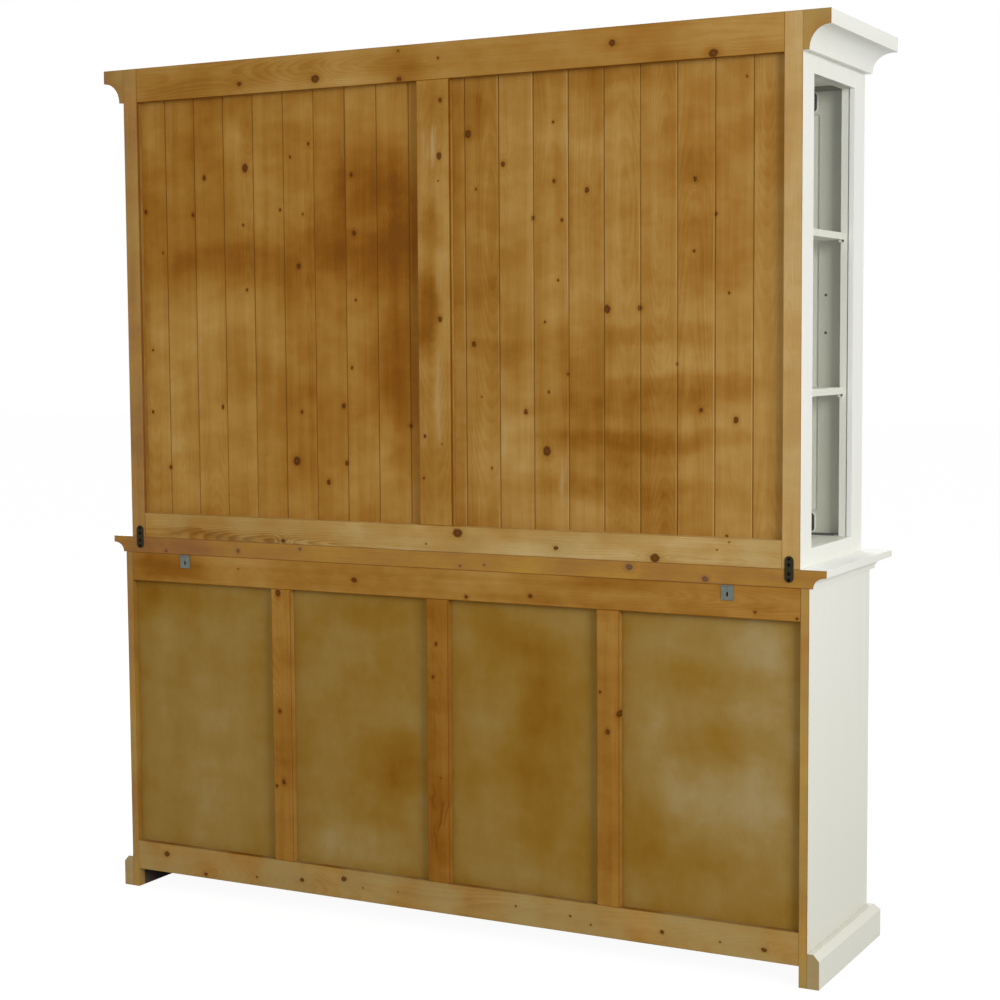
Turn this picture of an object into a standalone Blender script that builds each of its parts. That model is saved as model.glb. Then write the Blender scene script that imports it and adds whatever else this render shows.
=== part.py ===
# Buffet with a glazed hutch, seen in the photograph from behind.
# Metres, +Z up. The front faces -Y, and the origin is at the middle of the footprint, on the floor.
import math

import bmesh
import bpy
from mathutils import Matrix, Vector

# Overall sizes
HEIGHT = 2.200
HUTCH_WIDTH = 1.882
BASE_WIDER_EACH_END = 0.022
BODY_DEPTH = 0.450

# Gap between pieces that touch, and how far a tool reaches past what it cuts
GAP = 0.0003
PAST = 0.010

# Worktop, cornice and plinth: how far each one reaches past the body, at the ends and at the front
WORKTOP_TOP = 0.961
WORKTOP_THICK = 0.042
WORKTOP_FASCIA = 0.017
WORKTOP_END_REACH = 0.040
WORKTOP_FRONT_REACH = 0.051
WORKTOP_FOOT_REACH = 0.009
CORNICE_TALL = 0.0867
CORNICE_FASCIA = 0.034
CORNICE_END_REACH = 0.064
CORNICE_FRONT_REACH = 0.054
CORNICE_FOOT_REACH = 0.0143
MOULDING_LIP = 0.0025
MOULDING_LIP_RISE = 0.0008
MOULDING_FILLET = 0.002
COVE_STEPS = 7
PLINTH_TALL = 0.081
PLINTH_CHAMFER = 0.015
PLINTH_END_REACH = 0.0285
PLINTH_FRONT_REACH = 0.022
PLINTH_TOP_REACH = 0.0145

# Hutch ends: stile and rail frames round one pane each
END_THICK = 0.033
END_REAR_STILE_THICK = 0.043
END_REAR_STILE = 0.076
END_FRONT_STILE = 0.079
END_BOTTOM_RAIL = 0.042
END_TOP_RAIL = 0.129
END_GLASS_INSET = 0.0125
CEILING_ABOVE_WINDOW = 0.010

# Glass sits in a groove all round
GLASS_THICK = 0.004
GLASS_BITE = 0.008

# Boards and frames
PARTITION_THICK = 0.020
HUTCH_BOARD_THICK = 0.025
BASE_BOARD_THICK = 0.018
SHELF_THICK = 0.016
BASE_SHELF_SETBACK = 0.013
PARTITION_BEHIND_DOORS = 0.005
SHELF_BEHIND_REVEAL = 0.003
SHELF_PLAY = 0.0015
SHELF_TONGUE_INSET = 0.023
HUTCH_SHELF_SHARES = (0.3335, 0.6749)
PEG_RADIUS = 0.0035
PEG_OUT = 0.022
PEG_FROM_EDGE = 0.060
BASE_END_THICK = 0.020
BASE_FLOOR_TOP = 0.1275
BASE_SHELF_TOP = 0.490
CLEAT_TALL = 0.030
CLEAT_WIDE = 0.016

# Back of the hutch: a frame over tongued boards
BACK_FRAME_THICK = 0.018
HUTCH_BACK_BOTTOM_RAIL = 0.065
HUTCH_BACK_TOP_RAIL = 0.088
HUTCH_BACK_STILE = 0.090
BOARD_THICK = 0.010
BOARD_PITCH = 0.0927
BOARD_FIRST_SEAM = 0.079
BOARD_SEAMS_EACH_SIDE = 9
BOARD_V_WIDE = 0.003
BOARD_V_DEEP = 0.0018
BOARDS_BEHIND_TOP_RAIL = 0.034

# Back of the base: one frame over a thin sheet
BASE_BACK_TOP_RAIL = 0.076
BASE_BACK_BOTTOM_RAIL_LOW = 0.050
BASE_BACK_BOTTOM_RAIL = 0.0775
BASE_BACK_CENTRE_STILE = 0.061
BASE_BACK_SIDE_STILE = 0.058
BASE_BACK_SIDE_STILE_SHARE = 0.483
SHEET_THICK = 0.005

# Face frames and doors
FACE_THICK = 0.022
CENTRE_STILE = 0.070
HUTCH_END_STILE = 0.048
HUTCH_FRAME_LAP_LOW = 0.006
HUTCH_FRAME_LAP_HIGH = 0.007
BASE_END_STILE = 0.045
BASE_TOP_RAIL = 0.045
DOOR_THICK = 0.022
DOOR_EDGE_GAP = 0.003
DOOR_MEETING_GAP = 0.003
DOOR_HINGE_GAP = 0.0025

# Sliding doors: gaps round them, tongues and grooves
TRACK_GAP_FRONT = 0.003
TRACK_GAP_BETWEEN = 0.004
SLIDER_END_GAP = 0.003
SLIDER_GAP_LOW = 0.003
SLIDER_GAP_HIGH = 0.008
SLIDER_STILE = 0.062
SLIDER_RAIL = 0.057
TONGUE_THICK = 0.008
TONGUE_SIDE_PLAY = 0.0005
TONGUE_BITE_LOW = 0.005
TONGUE_BITE_HIGH = 0.008
GROOVE_PLAY_LOW = 0.0005
GROOVE_LIFT_OUT = 0.009

# Sunk pulls
PULL_FROM_EDGE = 0.043
PULL_WIDE = 0.022
PULL_TALL = 0.120
PULL_RIM = 0.003
PULL_RIM_THICK = 0.0012
PULL_DEEP = 0.010
PULL_WALL = 0.0015

# Panelled doors
PANEL_DOOR_STILE = 0.068
PANEL_FRONT_RECESS = 0.008
PANEL_BACK_RECESS = 0.006
PANEL_SLOPE = 0.006

# Hinges: the leaf that is fixed to the frame, with its barrel
HINGE_RADIUS = 0.003
HINGE_BARREL = 0.060
HINGE_FROM_END = 0.110
HINGE_LEAF_THICK = 0.0014
HINGE_LEAF_DEEP = 0.018
HINGE_BITE = 0.0018
HINGE_BARREL_PAST = 0.001

# Knobs
KNOB_LENGTH = 0.026
KNOB_RADIUS = 0.014
KNOB_CROWN = 0.008
KNOB_CROWN_STEPS = 5
KNOB_UNDER_RADIUS = 0.011
KNOB_UNDER_AT = 0.0134
KNOB_NECK_RADIUS = 0.005
KNOB_NECK_SPAN = (0.0045, 0.0104)
KNOB_FOOT_RADIUS = 0.009
KNOB_FOOT_TALL = 0.0027
KNOB_FROM_EDGE = 0.028
KNOB_STEPS = 20
KNOB_MERGE = 0.00005
KNOB_BELOW_WORKTOP = 0.279

# Steel plates on the back
PLATE_THICK = 0.002
JOINING_PLATE_WIDE = 0.021
JOINING_PLATE_TALL = 0.0605
JOINING_PLATE_INSET = 0.026
JOINING_HOLE_RADIUS = 0.0022
JOINING_HOLES = (-0.0240, -0.0100, 0.0100, 0.0240)
WALL_PLATE_WIDE = 0.030
WALL_PLATE_TALL = 0.0345
WALL_PLATE_INSET = 0.196
WALL_PLATE_LIP = 0.0025
WALL_PLATE_BELOW_WORKTOP = 0.0015
SLOT_BELOW_TOP = 0.0207
SLOT_RADIUS = 0.0025
SLOT_LONG = 0.011
ROUND_STEPS = 16

# Edges that turn by more than this stay crisp
SHARP_ANGLE = math.radians(35)

# Places worked out from the sizes above
CABINET_DEPTH = BODY_DEPTH + CORNICE_FRONT_REACH
PLATE_PROUD = GAP + PLATE_THICK + WALL_PLATE_LIP
BACK_Y = (CABINET_DEPTH - PLATE_PROUD) / 2
FACE_BACK = BODY_DEPTH - FACE_THICK - GAP
WORKTOP_UNDER = WORKTOP_TOP - WORKTOP_THICK
HUTCH_FOOT = WORKTOP_TOP + GAP
BASE_HEAD = WORKTOP_UNDER - GAP
HUTCH_HALF = HUTCH_WIDTH / 2
BASE_HALF = HUTCH_HALF + BASE_WIDER_EACH_END
BOARDS_AT = BACK_FRAME_THICK + GAP
HUTCH_INSIDE_BACK = BOARDS_AT + BOARD_THICK + GAP
BASE_INSIDE_BACK = BACK_FRAME_THICK + GAP + SHEET_THICK + GAP
HUTCH_BACK_HALF = HUTCH_HALF - END_REAR_STILE_THICK - GAP
HUTCH_INSIDE_HALF = HUTCH_HALF - END_THICK - GAP
BASE_INSIDE_HALF = BASE_HALF - BASE_END_THICK - GAP
END_WINDOW_BOTTOM = WORKTOP_TOP + END_BOTTOM_RAIL
END_WINDOW_TOP = HEIGHT - END_TOP_RAIL
HUTCH_FLOOR_TOP = END_WINDOW_BOTTOM
HUTCH_CEILING = END_WINDOW_TOP + CEILING_ABOVE_WINDOW
HUTCH_SHELF_TOPS = tuple(HUTCH_FLOOR_TOP + share * (HUTCH_CEILING - HUTCH_FLOOR_TOP)
                         for share in HUTCH_SHELF_SHARES)
HUTCH_ROOF_TOP = HUTCH_CEILING + HUTCH_BOARD_THICK
SLIDER_Z = (HUTCH_FLOOR_TOP + SLIDER_GAP_LOW, HUTCH_CEILING - SLIDER_GAP_HIGH)
PULL_HEIGHT = sum(SLIDER_Z) / 2
FRONT_TRACK = BODY_DEPTH - FACE_THICK - TRACK_GAP_FRONT - DOOR_THICK
REAR_TRACK = FRONT_TRACK - TRACK_GAP_BETWEEN - DOOR_THICK
CORNICE_UNDER = HEIGHT - CORNICE_TALL
PARTITION_FACE = PARTITION_THICK / 2 + GAP
WINDOW_BACK = END_REAR_STILE
WINDOW_FRONT = BODY_DEPTH - END_FRONT_STILE


def clear_scene():
    for obj in list(bpy.data.objects):
        bpy.data.objects.remove(obj, do_unlink=True)


def new_collection(name):
    made = bpy.data.collections.new(name)
    bpy.context.scene.collection.children.link(made)
    return made


def finish(name, colour, roughness, metallic=0.0, alpha=1.0):
    made = bpy.data.materials.new(name)
    made.use_nodes = True
    shader = made.node_tree.nodes["Principled BSDF"]
    shader.inputs["Base Color"].default_value = (*colour, 1.0)
    shader.inputs["Roughness"].default_value = roughness
    shader.inputs["Metallic"].default_value = metallic
    shader.inputs["Alpha"].default_value = alpha
    return made


clear_scene()
PARTS = new_collection("buffet")
CUTTERS = new_collection("buffet_cutters")
STAINED_PINE = finish("stained_pine", (0.36, 0.19, 0.055), 0.6)
STAINED_SHEET = finish("stained_sheet", (0.27, 0.17, 0.06), 0.65)
WHITE_PAINT = finish("white_paint", (0.82, 0.82, 0.78), 0.5)
CLEAR_GLASS = finish("clear_glass", (0.85, 0.9, 0.88), 0.05, alpha=0.3)
BLACK_STEEL = finish("black_steel", (0.03, 0.025, 0.02), 0.45, 0.8)
ZINC_STEEL = finish("zinc_steel", (0.45, 0.47, 0.5), 0.4, 0.9)


def y_at(depth):
    """Y of a plane this far in front of the back."""
    return BACK_Y - depth


def add_object(name, shape, collection, material=None):
    mesh = bpy.data.meshes.new(name)
    shape.to_mesh(mesh)
    shape.free()
    obj = bpy.data.objects.new(name, mesh)
    collection.objects.link(obj)
    if material:
        mesh.materials.append(material)
    return obj


def block(x_span, depth_span, z_span):
    """A closed box between two places along X, two depths from the back and two heights."""
    near, far = sorted(y_at(depth) for depth in depth_span)
    low = Vector((min(x_span), near, min(z_span)))
    high = Vector((max(x_span), far, max(z_span)))
    place = Matrix.Translation((low + high) / 2) @ Matrix.Diagonal((*(high - low), 1.0))
    shape = bmesh.new()
    bmesh.ops.create_cube(shape, size=1.0, matrix=place)
    return shape


def board(name, x_span, depth_span, z_span, material):
    return add_object(name, block(x_span, depth_span, z_span), PARTS, material)


def hide(obj):
    obj.hide_render = True
    obj.display_type = "WIRE"
    return obj


def tool_block(name, x_span, depth_span, z_span):
    return hide(add_object(name, block(x_span, depth_span, z_span), CUTTERS))


def smooth(obj):
    obj.data.shade_smooth()
    obj.data.set_sharp_from_angle(angle=SHARP_ANGLE)
    return obj


def rod(name, radius, centre, direction, length):
    """A closed cylinder about its centre, kept as a tool for a Boolean."""
    shape = bmesh.new()
    turn = Vector((0, 0, 1)).rotation_difference(Vector(direction)).to_matrix().to_4x4()
    bmesh.ops.create_cone(shape, cap_ends=True, segments=ROUND_STEPS, radius1=radius, radius2=radius,
                          depth=length, matrix=Matrix.Translation(centre) @ turn)
    return hide(smooth(add_object(name, shape, CUTTERS)))


def combine(obj, tools, operation):
    for number, tool in enumerate(tools):
        step = obj.modifiers.new(f"{operation.lower()}_{number}", "BOOLEAN")
        step.operation = operation
        step.solver = "EXACT"
        step.object = tool
    return obj


def cut(obj, *tools):
    return combine(obj, tools, "DIFFERENCE")


def fuse(obj, *tools):
    return combine(obj, tools, "UNION")


def sides():
    """Left and right as someone facing the front sees them, with the sign of X."""
    return (("left", -1), ("right", 1))


def moulded_block(name, half_width, levels, material):
    """A block whose ends and front follow a profile: levels are (height, end reach, front reach)."""
    shape = block((-half_width, half_width), (0, BODY_DEPTH), (levels[0][0], levels[1][0]))
    by_height = sorted(shape.faces, key=lambda face: face.calc_center_median().z)
    bottom, top = by_height[0], by_height[-1]

    def place(face, level):
        height, end_reach, front_reach = level
        for vert in face.verts:
            vert.co.x = math.copysign(half_width + end_reach, vert.co.x)
            if vert.co.y < BACK_Y - PAST:
                vert.co.y = y_at(BODY_DEPTH + front_reach)
            vert.co.z = height

    place(bottom, levels[0])
    place(top, levels[1])
    for level in levels[2:]:
        top = bmesh.ops.extrude_discrete_faces(shape, faces=[top])["faces"][0]
        place(top, level)
    bmesh.ops.recalc_face_normals(shape, faces=shape.faces)
    return smooth(add_object(name, shape, PARTS, material))


def cove_levels(under, top, fascia, foot_reach, end_reach, front_reach):
    """A fillet, a hollow quarter curve that starts upright and ends level, a lip and a fascia."""
    share = front_reach / end_reach
    cove_low = under + MOULDING_FILLET
    cove_high = top - fascia
    reaches = [(under, foot_reach)]
    for step in range(COVE_STEPS + 1):
        turn = math.pi / 2 * step / COVE_STEPS
        reaches.append((cove_low + (cove_high - cove_low) * math.sin(turn),
                        foot_reach + (end_reach - MOULDING_LIP - foot_reach) * (1 - math.cos(turn))))
    reaches += [(cove_high + MOULDING_LIP_RISE, end_reach), (top, end_reach)]
    return [(height, reach, reach * share) for height, reach in reaches]


def body_hollow(name, half_width, z_span):
    spread = half_width + GAP
    return tool_block(name, (-spread, spread), (-PAST, BODY_DEPTH + GAP), z_span)


def make_cornice():
    levels = cove_levels(CORNICE_UNDER, HEIGHT, CORNICE_FASCIA, CORNICE_FOOT_REACH,
                         CORNICE_END_REACH, CORNICE_FRONT_REACH)
    cornice = moulded_block("cornice", HUTCH_HALF, levels, WHITE_PAINT)
    cut(cornice, body_hollow("cornice_hollow", HUTCH_HALF, (CORNICE_UNDER - PAST, HEIGHT + PAST)))


def make_worktop():
    levels = cove_levels(WORKTOP_UNDER, WORKTOP_TOP, WORKTOP_FASCIA, WORKTOP_FOOT_REACH,
                         WORKTOP_END_REACH, WORKTOP_FRONT_REACH)
    moulded_block("worktop", BASE_HALF, levels, WHITE_PAINT)


def make_plinth():
    share = PLINTH_FRONT_REACH / PLINTH_END_REACH
    levels = [
        (0.0, PLINTH_END_REACH, PLINTH_FRONT_REACH),
        (PLINTH_TALL - PLINTH_CHAMFER, PLINTH_END_REACH, PLINTH_FRONT_REACH),
        (PLINTH_TALL, PLINTH_TOP_REACH, PLINTH_TOP_REACH * share),
    ]
    plinth = moulded_block("plinth", BASE_HALF, levels, WHITE_PAINT)
    cut(plinth, body_hollow("plinth_hollow", BASE_HALF, (-PAST, PLINTH_TALL + PAST)))


def make_hutch_ends():
    """Each end is a frame round a window, with the pegs that carry the shelves in its reveals."""
    for side, sign in sides():
        outer = sign * HUTCH_HALF
        inner = sign * (HUTCH_HALF - END_THICK)
        rear_inner = sign * (HUTCH_HALF - END_REAR_STILE_THICK)
        past = sign * (HUTCH_HALF + PAST)
        beyond = rear_inner - sign * PAST
        end = board(f"hutch_end_{side}", (outer, rear_inner), (0, FACE_BACK), (HUTCH_FOOT, HEIGHT),
                    WHITE_PAINT)
        thin = tool_block(f"end_thin_{side}", (inner, beyond), (WINDOW_BACK, FACE_BACK + PAST),
                          (HUTCH_FOOT - PAST, HEIGHT + PAST))
        window = tool_block(f"end_window_{side}", (past, beyond), (WINDOW_BACK, WINDOW_FRONT),
                            (END_WINDOW_BOTTOM, END_WINDOW_TOP))
        pane_x = (sign * (HUTCH_HALF - END_GLASS_INSET),
                  sign * (HUTCH_HALF - END_GLASS_INSET - GLASS_THICK))
        groove = tool_block(
            f"end_groove_{side}",
            (pane_x[0] + sign * GAP, pane_x[1] - sign * GAP),
            (WINDOW_BACK - GLASS_BITE - GAP, WINDOW_FRONT + GLASS_BITE + GAP),
            (END_WINDOW_BOTTOM - GLASS_BITE - GAP, END_WINDOW_TOP + GLASS_BITE + GAP),
        )
        cut(end, thin, window, groove)
        board(f"end_glass_{side}", pane_x, (WINDOW_BACK - GLASS_BITE, WINDOW_FRONT + GLASS_BITE),
              (END_WINDOW_BOTTOM - GLASS_BITE, END_WINDOW_TOP + GLASS_BITE), CLEAR_GLASS)
        peg_x = sign * (HUTCH_HALF - (SHELF_TONGUE_INSET + END_THICK) / 2)
        pegs = []
        for top in HUTCH_SHELF_TOPS:
            peg_z = top - SHELF_THICK - GAP - PEG_RADIUS
            for wall, way in ((WINDOW_BACK, 1), (WINDOW_FRONT, -1)):
                middle = y_at(wall + way * (PEG_OUT - PAST) / 2)
                pegs.append(rod(f"end_peg_{side}_{len(pegs)}", PEG_RADIUS, (peg_x, middle, peg_z),
                                (0, 1, 0), PEG_OUT + PAST))
        fuse(end, *pegs)


def rear_corner_notches(name, z_span):
    """Tools that clear the thick rear stiles of the hutch ends."""
    tools = []
    for side, sign in sides():
        tools.append(tool_block(
            f"{name}_notch_{side}",
            (sign * HUTCH_BACK_HALF, sign * (HUTCH_HALF + PAST)),
            (-PAST, END_REAR_STILE + GAP),
            (z_span[0] - PAST, z_span[1] + PAST),
        ))
    return tools


def track_grooves(name, z_span):
    tools = []
    for track, depth in (("front", FRONT_TRACK), ("rear", REAR_TRACK)):
        middle = depth + DOOR_THICK / 2
        wide = TONGUE_THICK / 2 + TONGUE_SIDE_PLAY
        tools.append(tool_block(f"{name}_groove_{track}", (-HUTCH_HALF, HUTCH_HALF),
                                (middle - wide, middle + wide), z_span))
    return tools


def make_hutch_boards():
    inside = (-HUTCH_INSIDE_HALF, HUTCH_INSIDE_HALF)
    depth = (HUTCH_INSIDE_BACK, FACE_BACK)
    roof_z = (HUTCH_CEILING, HUTCH_ROOF_TOP)
    floor_z = (HUTCH_FLOOR_TOP - HUTCH_BOARD_THICK, HUTCH_FLOOR_TOP)
    lift = TONGUE_BITE_HIGH + GROOVE_LIFT_OUT
    sink = TONGUE_BITE_LOW + GROOVE_PLAY_LOW
    roof = board("hutch_roof", inside, depth, roof_z, WHITE_PAINT)
    cut(roof, *rear_corner_notches("hutch_roof", roof_z),
        *track_grooves("hutch_roof", (HUTCH_CEILING - PAST, HUTCH_CEILING + lift)))
    floor = board("hutch_floor", inside, depth, floor_z, WHITE_PAINT)
    cut(floor, *rear_corner_notches("hutch_floor", floor_z),
        *track_grooves("hutch_floor", (HUTCH_FLOOR_TOP - sink, HUTCH_FLOOR_TOP + PAST)))
    partition_front = REAR_TRACK - PARTITION_BEHIND_DOORS
    partition = board("hutch_partition", (-PARTITION_THICK / 2, PARTITION_THICK / 2),
                      (HUTCH_INSIDE_BACK, partition_front),
                      (HUTCH_FLOOR_TOP + GAP, HUTCH_CEILING - GAP), WHITE_PAINT)
    pegs = []
    for top in HUTCH_SHELF_TOPS:
        peg_z = top - SHELF_THICK - GAP - PEG_RADIUS
        for place in (HUTCH_INSIDE_BACK + PEG_FROM_EDGE, partition_front - PEG_FROM_EDGE):
            pegs.append(rod(f"partition_peg_{len(pegs)}", PEG_RADIUS, (0, y_at(place), peg_z),
                            (1, 0, 0), PARTITION_THICK + 2 * PEG_OUT))
    fuse(partition, *pegs)


def make_hutch_shelves():
    """Each shelf runs from the partition into the window's recess, between the stiles."""
    back = HUTCH_INSIDE_BACK + SHELF_PLAY
    front = WINDOW_FRONT - SHELF_BEHIND_REVEAL
    for level, top in zip(("lower", "upper"), HUTCH_SHELF_TOPS):
        z_span = (top - SHELF_THICK, top)
        for side, sign in sides():
            start = sign * (PARTITION_FACE + SHELF_PLAY)
            tip = sign * (HUTCH_HALF - SHELF_TONGUE_INSET)
            name = f"hutch_shelf_{level}_{side}"
            shelf = board(name, (start, tip), (back, front), z_span, WHITE_PAINT)
            cut(shelf, tool_block(f"{name}_notch",
                                  (sign * (HUTCH_BACK_HALF - SHELF_PLAY), tip + sign * PAST),
                                  (0, WINDOW_BACK + SHELF_PLAY),
                                  (z_span[0] - PAST, z_span[1] + PAST)))


def seam_places():
    right = [BOARD_FIRST_SEAM + number * BOARD_PITCH for number in range(BOARD_SEAMS_EACH_SIDE)]
    return [-place for place in reversed(right)] + [0.0] + right


def make_hutch_back():
    """Tongued boards in one panel, with a frame planted over them from behind."""
    half = HUTCH_BACK_HALF
    rear = y_at(BOARDS_AT)
    front = y_at(BOARDS_AT + BOARD_THICK)
    outline = [(-half, rear)]
    for place in seam_places():
        outline.append((place - BOARD_V_WIDE / 2, rear))
        outline.append((place, rear - BOARD_V_DEEP))
        outline.append((place + BOARD_V_WIDE / 2, rear))
    outline += [(half, rear), (half, front), (-half, front)]
    low = HUTCH_FOOT
    rail_low = HEIGHT - HUTCH_BACK_TOP_RAIL
    high = rail_low + BOARDS_BEHIND_TOP_RAIL
    shape = bmesh.new()
    face = shape.faces.new([shape.verts.new((x, y, low)) for x, y in outline])
    grown = bmesh.ops.extrude_face_region(shape, geom=[face])["geom"]
    lifted = [item for item in grown if isinstance(item, bmesh.types.BMVert)]
    bmesh.ops.translate(shape, verts=lifted, vec=(0, 0, high - low))
    bmesh.ops.recalc_face_normals(shape, faces=shape.faces)
    add_object("hutch_back_boards", shape, PARTS, STAINED_PINE)

    depth = (0, BACK_FRAME_THICK)
    board("hutch_back_top_rail", (-half, half), depth, (rail_low, HEIGHT), STAINED_PINE)
    bottom_rail_top = WORKTOP_TOP + HUTCH_BACK_BOTTOM_RAIL
    board("hutch_back_bottom_rail", (-half, half), depth, (HUTCH_FOOT, bottom_rail_top),
          STAINED_PINE)
    board("hutch_back_centre_stile", (-HUTCH_BACK_STILE / 2, HUTCH_BACK_STILE / 2), depth,
          (bottom_rail_top + GAP, rail_low - GAP), STAINED_PINE)


def make_base_boards():
    depth = (BASE_INSIDE_BACK, FACE_BACK)
    floor_low = BASE_FLOOR_TOP - BASE_BOARD_THICK
    shelf_low = BASE_SHELF_TOP - BASE_BOARD_THICK
    cleat_z = (shelf_low - GAP - CLEAT_TALL, shelf_low - GAP)
    cleat_depth = (BASE_INSIDE_BACK, FACE_BACK - BASE_SHELF_SETBACK)
    for side, sign in sides():
        face = sign * (BASE_HALF - BASE_END_THICK)
        end = board(f"base_end_{side}", (sign * BASE_HALF, face), (0, FACE_BACK), (0, BASE_HEAD),
                    WHITE_PAINT)
        fuse(end, tool_block(f"base_end_cleat_{side}",
                             (face + sign * BASE_END_THICK / 2, face - sign * CLEAT_WIDE),
                             cleat_depth, cleat_z))
        board(f"base_shelf_{side}",
              (sign * (PARTITION_FACE + SHELF_PLAY), sign * (BASE_INSIDE_HALF - SHELF_PLAY)),
              (BASE_INSIDE_BACK + SHELF_PLAY, FACE_BACK - BASE_SHELF_SETBACK),
              (shelf_low, BASE_SHELF_TOP), WHITE_PAINT)
    board("base_floor", (-BASE_INSIDE_HALF, BASE_INSIDE_HALF), depth, (floor_low, BASE_FLOOR_TOP),
          WHITE_PAINT)
    partition = board("base_partition", (-PARTITION_THICK / 2, PARTITION_THICK / 2), depth,
                      (BASE_FLOOR_TOP + GAP, BASE_HEAD), WHITE_PAINT)
    spread = PARTITION_THICK / 2 + CLEAT_WIDE
    fuse(partition, tool_block("base_partition_cleats", (-spread, spread), cleat_depth, cleat_z))


def make_base_back():
    """Two rails and three stiles between them, over one thin sheet."""
    half = BASE_INSIDE_HALF
    low = BASE_BACK_BOTTOM_RAIL_LOW
    depth = (0, BACK_FRAME_THICK)
    board("base_back_sheet", (-half, half), (BACK_FRAME_THICK + GAP, BASE_INSIDE_BACK - GAP),
          (low, BASE_HEAD), STAINED_SHEET)
    light_low = low + BASE_BACK_BOTTOM_RAIL
    light_high = WORKTOP_UNDER - BASE_BACK_TOP_RAIL
    board("base_back_top_rail", (-half, half), depth, (light_high, BASE_HEAD), STAINED_PINE)
    board("base_back_bottom_rail", (-half, half), depth, (low, light_low), STAINED_PINE)
    side_at = BASE_HALF * BASE_BACK_SIDE_STILE_SHARE
    stiles = (("left", -side_at, BASE_BACK_SIDE_STILE),
              ("centre", 0.0, BASE_BACK_CENTRE_STILE),
              ("right", side_at, BASE_BACK_SIDE_STILE))
    for label, x, wide in stiles:
        board(f"base_back_stile_{label}", (x - wide / 2, x + wide / 2), depth,
              (light_low + GAP, light_high - GAP), STAINED_PINE)


def make_face_frame(name, half_width, end_stile, z_span, opening_z, centre_stile):
    """A frame with one opening, or two where it has a centre stile."""
    frame = board(name, (-half_width, half_width), (FACE_BACK + GAP, BODY_DEPTH), z_span,
                  WHITE_PAINT)
    inner = half_width - end_stile
    if centre_stile:
        spans = ((-inner, -centre_stile / 2), (centre_stile / 2, inner))
    else:
        spans = ((-inner, inner),)
    openings = []
    for number, span in enumerate(spans):
        openings.append(tool_block(f"{name}_opening_{number}", span, (0, BODY_DEPTH + PAST),
                                   opening_z))
    cut(frame, *openings)


def knob_profile():
    """Radius and distance from the door, from the crown in to the axis at the foot."""
    profile = []
    for step in range(KNOB_CROWN_STEPS + 1):
        turn = math.pi / 2 * step / KNOB_CROWN_STEPS
        profile.append((KNOB_RADIUS * math.sin(turn),
                        KNOB_LENGTH - KNOB_CROWN * (1 - math.cos(turn))))
    neck_low, neck_high = KNOB_NECK_SPAN
    return profile + [
        (KNOB_UNDER_RADIUS, KNOB_UNDER_AT),
        (KNOB_NECK_RADIUS, neck_high),
        (KNOB_NECK_RADIUS, neck_low),
        (KNOB_FOOT_RADIUS, KNOB_FOOT_TALL),
        (KNOB_FOOT_RADIUS, 0.0),
        (0.0, 0.0),
    ]


def make_knob(name, x, z):
    shape = bmesh.new()
    verts = [shape.verts.new((radius, 0, out)) for radius, out in knob_profile()]
    for first, second in zip(verts, verts[1:]):
        shape.edges.new((first, second))
    knob = add_object(name, shape, PARTS, BLACK_STEEL)
    turned = knob.modifiers.new("turned", "SCREW")
    turned.steps = KNOB_STEPS
    turned.render_steps = KNOB_STEPS
    turned.use_merge_vertices = True
    turned.merge_threshold = KNOB_MERGE
    knob.rotation_euler = (math.pi / 2, 0, 0)
    knob.location = (x, y_at(BODY_DEPTH + GAP), z)
    return knob


def make_hinge(name, edge, sign, axis, z):
    """The leaf fixed to the frame's edge, with the barrel that stands in front."""
    ends = (z - HINGE_BARREL / 2, z + HINGE_BARREL / 2)
    leaf_x = (edge + sign * GAP, edge + sign * (GAP + HINGE_LEAF_THICK))
    hinge = board(name, leaf_x, (BODY_DEPTH - HINGE_LEAF_DEEP, BODY_DEPTH + HINGE_BITE), ends,
                  BLACK_STEEL)
    fuse(hinge, rod(f"{name}_barrel", HINGE_RADIUS, (axis.x, axis.y, z), (0, 0, 1),
                    HINGE_BARREL + 2 * HINGE_BARREL_PAST))


def sunk_pull(name, x, face_depth):
    """A round-ended cup with a thin rim on the door's face, and the pocket that takes it."""
    centre = (x, PULL_HEIGHT)

    def outline(inset):
        return round_ended(centre, PULL_WIDE / 2 - inset, PULL_TALL / 2 - inset)

    rim_depth = (face_depth + GAP, face_depth + GAP + PULL_RIM_THICK)
    floor = face_depth - PULL_DEEP
    pull = flat_plate(name, outline(0), rim_depth, BLACK_STEEL, PARTS)
    cup = hide(flat_plate(f"{name}_cup", outline(PULL_RIM), (floor, rim_depth[1] - GAP),
                          None, CUTTERS))
    dish = hide(flat_plate(f"{name}_dish", outline(PULL_RIM + PULL_WALL),
                           (floor + PULL_WALL, face_depth + PAST), None, CUTTERS))
    fuse(pull, cup)
    cut(pull, dish)
    pocket = hide(flat_plate(f"{name}_pocket", outline(PULL_RIM - GAP),
                             (floor - GAP, face_depth + PAST), None, CUTTERS))
    return pull, pocket


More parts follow.
